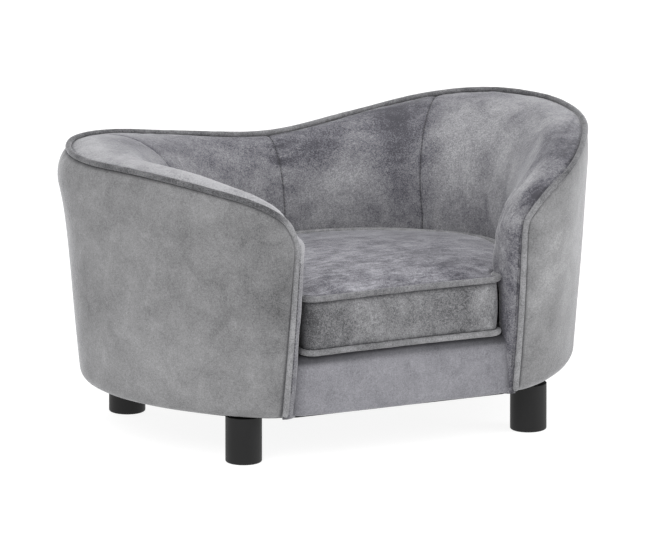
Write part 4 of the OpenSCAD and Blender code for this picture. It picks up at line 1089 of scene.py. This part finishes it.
def stuffed(rings):
    """The cushion's rings after its stuffing has pressed the cloth out between the seams"""
    n, m = rings.shape[:2]
    obj = stack("cushion_work", rings)
    held = obj.vertex_groups.new(name="held")
    for row in (*range(BOTTOM_RINGS + 1), TOP_START - 1, TOP_START):
        held.add(list(range(row * m, row * m + m)), 1.0, "ADD")
    held.add([n * m], 1.0, "ADD")
    cloth = obj.modifiers.new("cloth", "CLOTH")
    for key, value in STUFFING.items():
        setattr(cloth.settings, key, value)
    cloth.settings.effector_weights.gravity = 0.0
    cloth.collision_settings.use_collision = False
    scene = bpy.context.scene
    for step in range(1, STUFFING_FRAMES + 1):
        scene.frame_set(step)
    solved = obj.evaluated_get(bpy.context.evaluated_depsgraph_get())
    points = np.empty(len(obj.data.vertices) * 3)
    solved.data.vertices.foreach_get("co", points)
    scene.frame_set(1)
    bpy.data.objects.remove(obj)
    return points.reshape(-1, 3)[:n * m].reshape(n, m, 3)


def pressed_out(rings):
    """The rings moved as the stuffing moves them, but less where the cap is low"""
    moved = stuffed(rings) - rings
    size = np.linalg.norm(moved, axis=-1, keepdims=True)
    cap = TOP_CAP - (TOP_CAP - REAR_CAP) * soft_step((rings[..., 1:2] + REAR_CAP_Y) / REAR_CAP_FADE)
    cap[BOTTOM_RINGS:TOP_START] = BOXING_CAP
    return rings + moved / np.maximum(size, 1e-9) * cap * np.tanh(size / cap)


def sat_down(points):
    """Heights of the cushion's points, its upper side sat down towards the back"""
    back = soft_step((points[..., 1] + REAR_DOWN_Y) / REAR_DOWN_FADE)
    return points[..., 2] - REAR_DOWN * back * np.clip((points[..., 2] - CUSHION_WELT_Z) / CUSHION_H, 0, 1)


def behind_zip(points):
    """The cushion's points, those of the boxing at the zip drawn in to just behind its tape"""
    low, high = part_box("cushion_zip")
    x, y, z = np.moveaxis(points, -1, 0)
    r = np.hypot(x, y - ZIP_Y)
    beyond = np.abs(z - (low[2] + high[2]) / 2) - (high[2] - low[2]) / 2
    level = soft_step(1 - (beyond - ZIP_OVER) / ZIP_OVER_FADE)
    along = soft_step(1 - (np.abs(x) - high[0] - ZIP_BESIDE) / ZIP_BESIDE_FADE)
    wanted = r - np.maximum(r - (high[1] - ZIP_Y - TAPE_T), 0) * level * along * (y > 0)
    return np.stack([x * wanted / r, ZIP_Y + (y - ZIP_Y) * wanted / r, z], axis=-1)


def make_boxing(box, out):
    """The band round the cushion between its two cords"""
    along, up = lengths(box, 1), lengths(box, 0)
    to_seam = np.minimum(up, up[-1:] - up)
    ripple = folds(SIDE_RIPPLE, along, up) * np.exp(-to_seam / SIDE_RIPPLE_REACH)
    box = box + out * (ripple - BOXING_TUCK * np.exp(-to_seam / BOXING_TUCK_W))[..., None]
    # Painted shade beside the cords
    crease = fades(to_seam, BOXING_LINE, BOXING_LINE_SOFT)
    dark = np.exp(-((box[..., 0] - BOXING_DARK_X) / BOXING_DARK_W) ** 2)
    tone = BOXING_DARK * dark * (box[..., 1] < BOXING_DARK_Y)
    obj = ring_panel("cushion_side", box, box - out * CUSHION_SKIN_T, cloth_at(along, up, 4.0), crease, tone)
    dress(obj, BOXING_PLUSH, "cushion", "plush", "cushion_boxing")


def make_cushion():
    """Boxing, top and bottom panels, foam core and two cords, over the stuffed body's rings"""
    rings = cushion_rings()
    rings = pressed_out(rings)
    rings[..., 2] = sat_down(rings)
    rings = behind_zip(rings)
    loop = np.concatenate([rings, rings[:, :1]], axis=1)
    out = facing(loop, (BOTTOM_RINGS + 5, 75), 1)
    make_boxing(loop[BOTTOM_RINGS:TOP_START], out[BOTTOM_RINGS:TOP_START])
    low = loop[:BOTTOM_RINGS][::-1].copy()
    low[..., 2] = CUSHION_Z + GAP
    top = disc_panel("cushion_top", loop[TOP_START:], -CUSHION_SKIN_T, 6.0)
    dress(top, TOP_PLUSH, "cushion", "plush", "cushion_top_panel")
    bottom = disc_panel("cushion_bottom", low, CUSHION_SKIN_T, 8.0)
    dress(bottom, BOXING_PLUSH, "cushion", "plush", "cushion_bottom_panel")
    core = stack("cushion_core", rings - out[:, :-1] * CORE_DEEP)
    dress(core, FOAM, "cushion", "foam", "cushion_foam")
    make_cord("cushion_cord_top", "cushion_welt_top", CUSHION_TOP_Z, 6.0, 0.08)
    make_cord("cushion_cord_bottom", "cushion_welt_bottom", CUSHION_WELT_Z, 7.0, 0.2)


def make_cord(name, cad, z, seed, light):
    """Welt round the cushion at one height, lighter towards the back"""
    path = joined(cushion_outline(CUSHION_INSET), z)
    path[:, 2] = sat_down(path)
    size = CORD_SWAY_SIZE
    path[:, 2] += [CORD_SWAY * noise.noise((x / size, y / size, seed)) for x, y, _ in path]
    tone = light + CORD_REAR_LIGHT * np.clip(path[:, 1] / REAR_FROM, 0, 1)
    ups = np.tile([0.0, 0, 1], (len(path), 1))
    obj = tube(name, path, ups, CUSHION_WELT_D / 2 - CORD_THINNER, sides=14, seed=seed, wobble=0.05,
               tone=tone, closed=True)
    dress(obj, WELT_PLUSH, "cushion", "welt", cad)


# Zip

def make_zip_teeth():
    """Teeth along the zip's tape, each a small block, by turns a little higher and lower"""
    low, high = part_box("cushion_zip")
    face, mid = high[1] - ZIP_Y, (low[2] + high[2]) / 2
    reach = math.asin(high[0] / face) - TEETH_END
    corners = [(da, dr, dz) for da in (-TOOTH_W / 2, TOOTH_W / 2) for dr in (-TOOTH_SUNK, TOOTH_PROUD)
               for dz in (-TOOTH_H / 2, TOOTH_H / 2)]
    sides = np.array([(0, 1, 3, 2), (4, 6, 7, 5), (0, 4, 5, 1), (2, 3, 7, 6), (0, 2, 6, 4), (1, 5, 7, 3)])
    points, faces = [], []
    for k, a in enumerate(np.arange(-reach, reach, TOOTH_PITCH / face)):
        level = mid + (TOOTH_SHIFT if k % 2 else -TOOTH_SHIFT)
        faces += (sides + len(points)).tolist()
        for da, dr, dz in corners:
            r, turn = face + dr, a + da / face
            points.append([r * math.sin(turn), ZIP_Y + r * math.cos(turn), level + dz])
    dress(solid("zip_teeth", points, faces, flat=True), ZIP_TEETH, "cushion", "zip_tape")


def make_zip_pull():
    """Pull tab that hangs from the slider"""
    low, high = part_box("zip_slider")
    centre = (np.array(low) + np.array(high)) / 2
    a = math.atan2(centre[0], centre[1] - ZIP_Y)
    far = max(math.hypot(x, high[1] - ZIP_Y) for x in (low[0], high[0])) + PULL_CLEAR
    r = min(far, math.hypot(centre[0], high[1] - ZIP_Y) + 2 * PULL_CLEAR)
    side, out = np.array([math.cos(a), -math.sin(a), 0]), np.array([math.sin(a), math.cos(a), 0])
    turn = np.linspace(0, math.pi, 9)
    shape = [(PULL_TOP_R * math.cos(t), PULL_TOP_R * math.sin(t)) for t in turn]
    shape += [(-PULL_END_R * math.cos(t), -PULL_L - PULL_END_R * math.sin(t)) for t in turn]
    start = np.array([0, ZIP_Y, centre[2] - PULL_DOWN]) + out * r
    back = np.array([start + side * x + np.array([0, 0, z]) for x, z in shape])
    k = len(shape)
    faces = [list(range(k)), list(range(k, 2 * k))[::-1]]
    faces += [[i, i + k, (i + 1) % k + k, (i + 1) % k] for i in range(k)]
    obj = solid("zip_pull", np.concatenate([back + out * PULL_T, back]), faces, flat=True)
    dress(obj, STEEL, "slider", "steel")


# Feet, CAD nodes and stage

def make_foot(cad):
    """Turned foot with a softened lower edge"""
    low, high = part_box(cad)
    centre = (low + high) / 2
    r, h = (high[0] - low[0]) / 2, high[2] - low[2]
    profile = [(r * FOOT_PAD_SHARE, FOOT_RECESS), (r * FOOT_RIM_SHARE, 0)]
    profile += [(r - FOOT_EDGE + FOOT_EDGE * math.sin(a), FOOT_EDGE - FOOT_EDGE * math.cos(a))
                for a in np.linspace(0, math.pi / 2, 7)]
    profile += [(r, h * f) for f in (0.3, 0.6, 0.9, 1)]
    turns = 2 * np.pi * np.arange(FOOT_SIDES) / FOOT_SIDES
    rings = np.array([[(centre[0] + x * math.cos(a), centre[1] + x * math.sin(a), low[2] + z) for a in turns]
                      for x, z in profile])
    obj = stack("turned_" + cad, rings)
    obj.modifiers.new("edges", "EDGE_SPLIT").split_angle = math.radians(50)
    dress(obj, FOOT_BLACK, "sofa", "foot_black", cad)


def dress_cad():
    """Materials of the CAD nodes that show as they are. The two sheets are looked up and left as they are."""
    for row in frame["record"]["subparts"]:
        obj = frame["nodes"][row["node"]]
        obj.data.materials.clear()
        obj.data.materials.append(BY_SLOT[row["material_slot"]])
    for name, rests_on in (("dust_cover", "base_board"), ("deck_cover", "seat_deck")):
        obj = frame["nodes"][name]


def aim(obj, way):
    """Turns a lamp or a camera to look along a direction"""
    obj.rotation_euler = way.to_track_quat("-Z", "Y").to_euler()


def make_stage():
    """Pale floor, soft studio light and the camera"""
    mesh = bpy.data.meshes.new("floor")
    corners = [(x * FLOOR_HALF, y * FLOOR_HALF, 0) for x, y in ((-1, -1), (1, -1), (1, 1), (-1, 1))]
    mesh.from_pydata(corners, [], [(0, 1, 2, 3)])
    floor = link("floor", mesh)
    mesh.materials.append(new_material("floor", Roughness=0.9, Base_Color=(0.25, 0.25, 0.25, 1),
                                       Emission_Color=(1, 1, 1, 1), Emission_Strength=0.89)[0])
    world = bpy.data.worlds.new("studio")
    bpy.context.scene.world = world
    world.use_nodes = True
    sky = world.node_tree.nodes["Background"]
    sky.inputs[0].default_value = (1.0, 1.0, 1.0, 1)
    sky.inputs[1].default_value = SKY
    for name, place, size, power in LAMPS:
        light = bpy.data.lights.new(name, "AREA")
        light.size, light.energy = size, power
        lamp = link(name, light)
        lamp.location = place
        aim(lamp, CAMERA_AIM - Vector(place))
    camera = bpy.data.cameras.new("camera")
    camera.lens = CAMERA_LENS_PX * SENSOR_W / IMAGE_W
    camera.sensor_width = SENSOR_W
    camera.clip_end = CAMERA_FAR
    view = link("camera", camera)
    flat = math.cos(CAMERA_DIP)
    back = Vector((-math.sin(CAMERA_TURN) * flat, -math.cos(CAMERA_TURN) * flat, math.sin(CAMERA_DIP)))
    view.location = CAMERA_AIM + back * CAMERA_AWAY
    aim(view, -back)
    bpy.context.scene.camera = view
    bpy.context.scene.view_settings.view_transform = "Standard"


dress_cad()
make_inner_covers()
make_outer_cover()
make_shell_welt()
make_padding()
make_front_rail()
make_cushion()
make_zip_teeth()
make_zip_pull()
for cad_foot in ("foot_front_left", "foot_front_right", "foot_rear_left", "foot_rear_right"):
    make_foot(cad_foot)
make_stage()
bpy.context.view_layer.update()
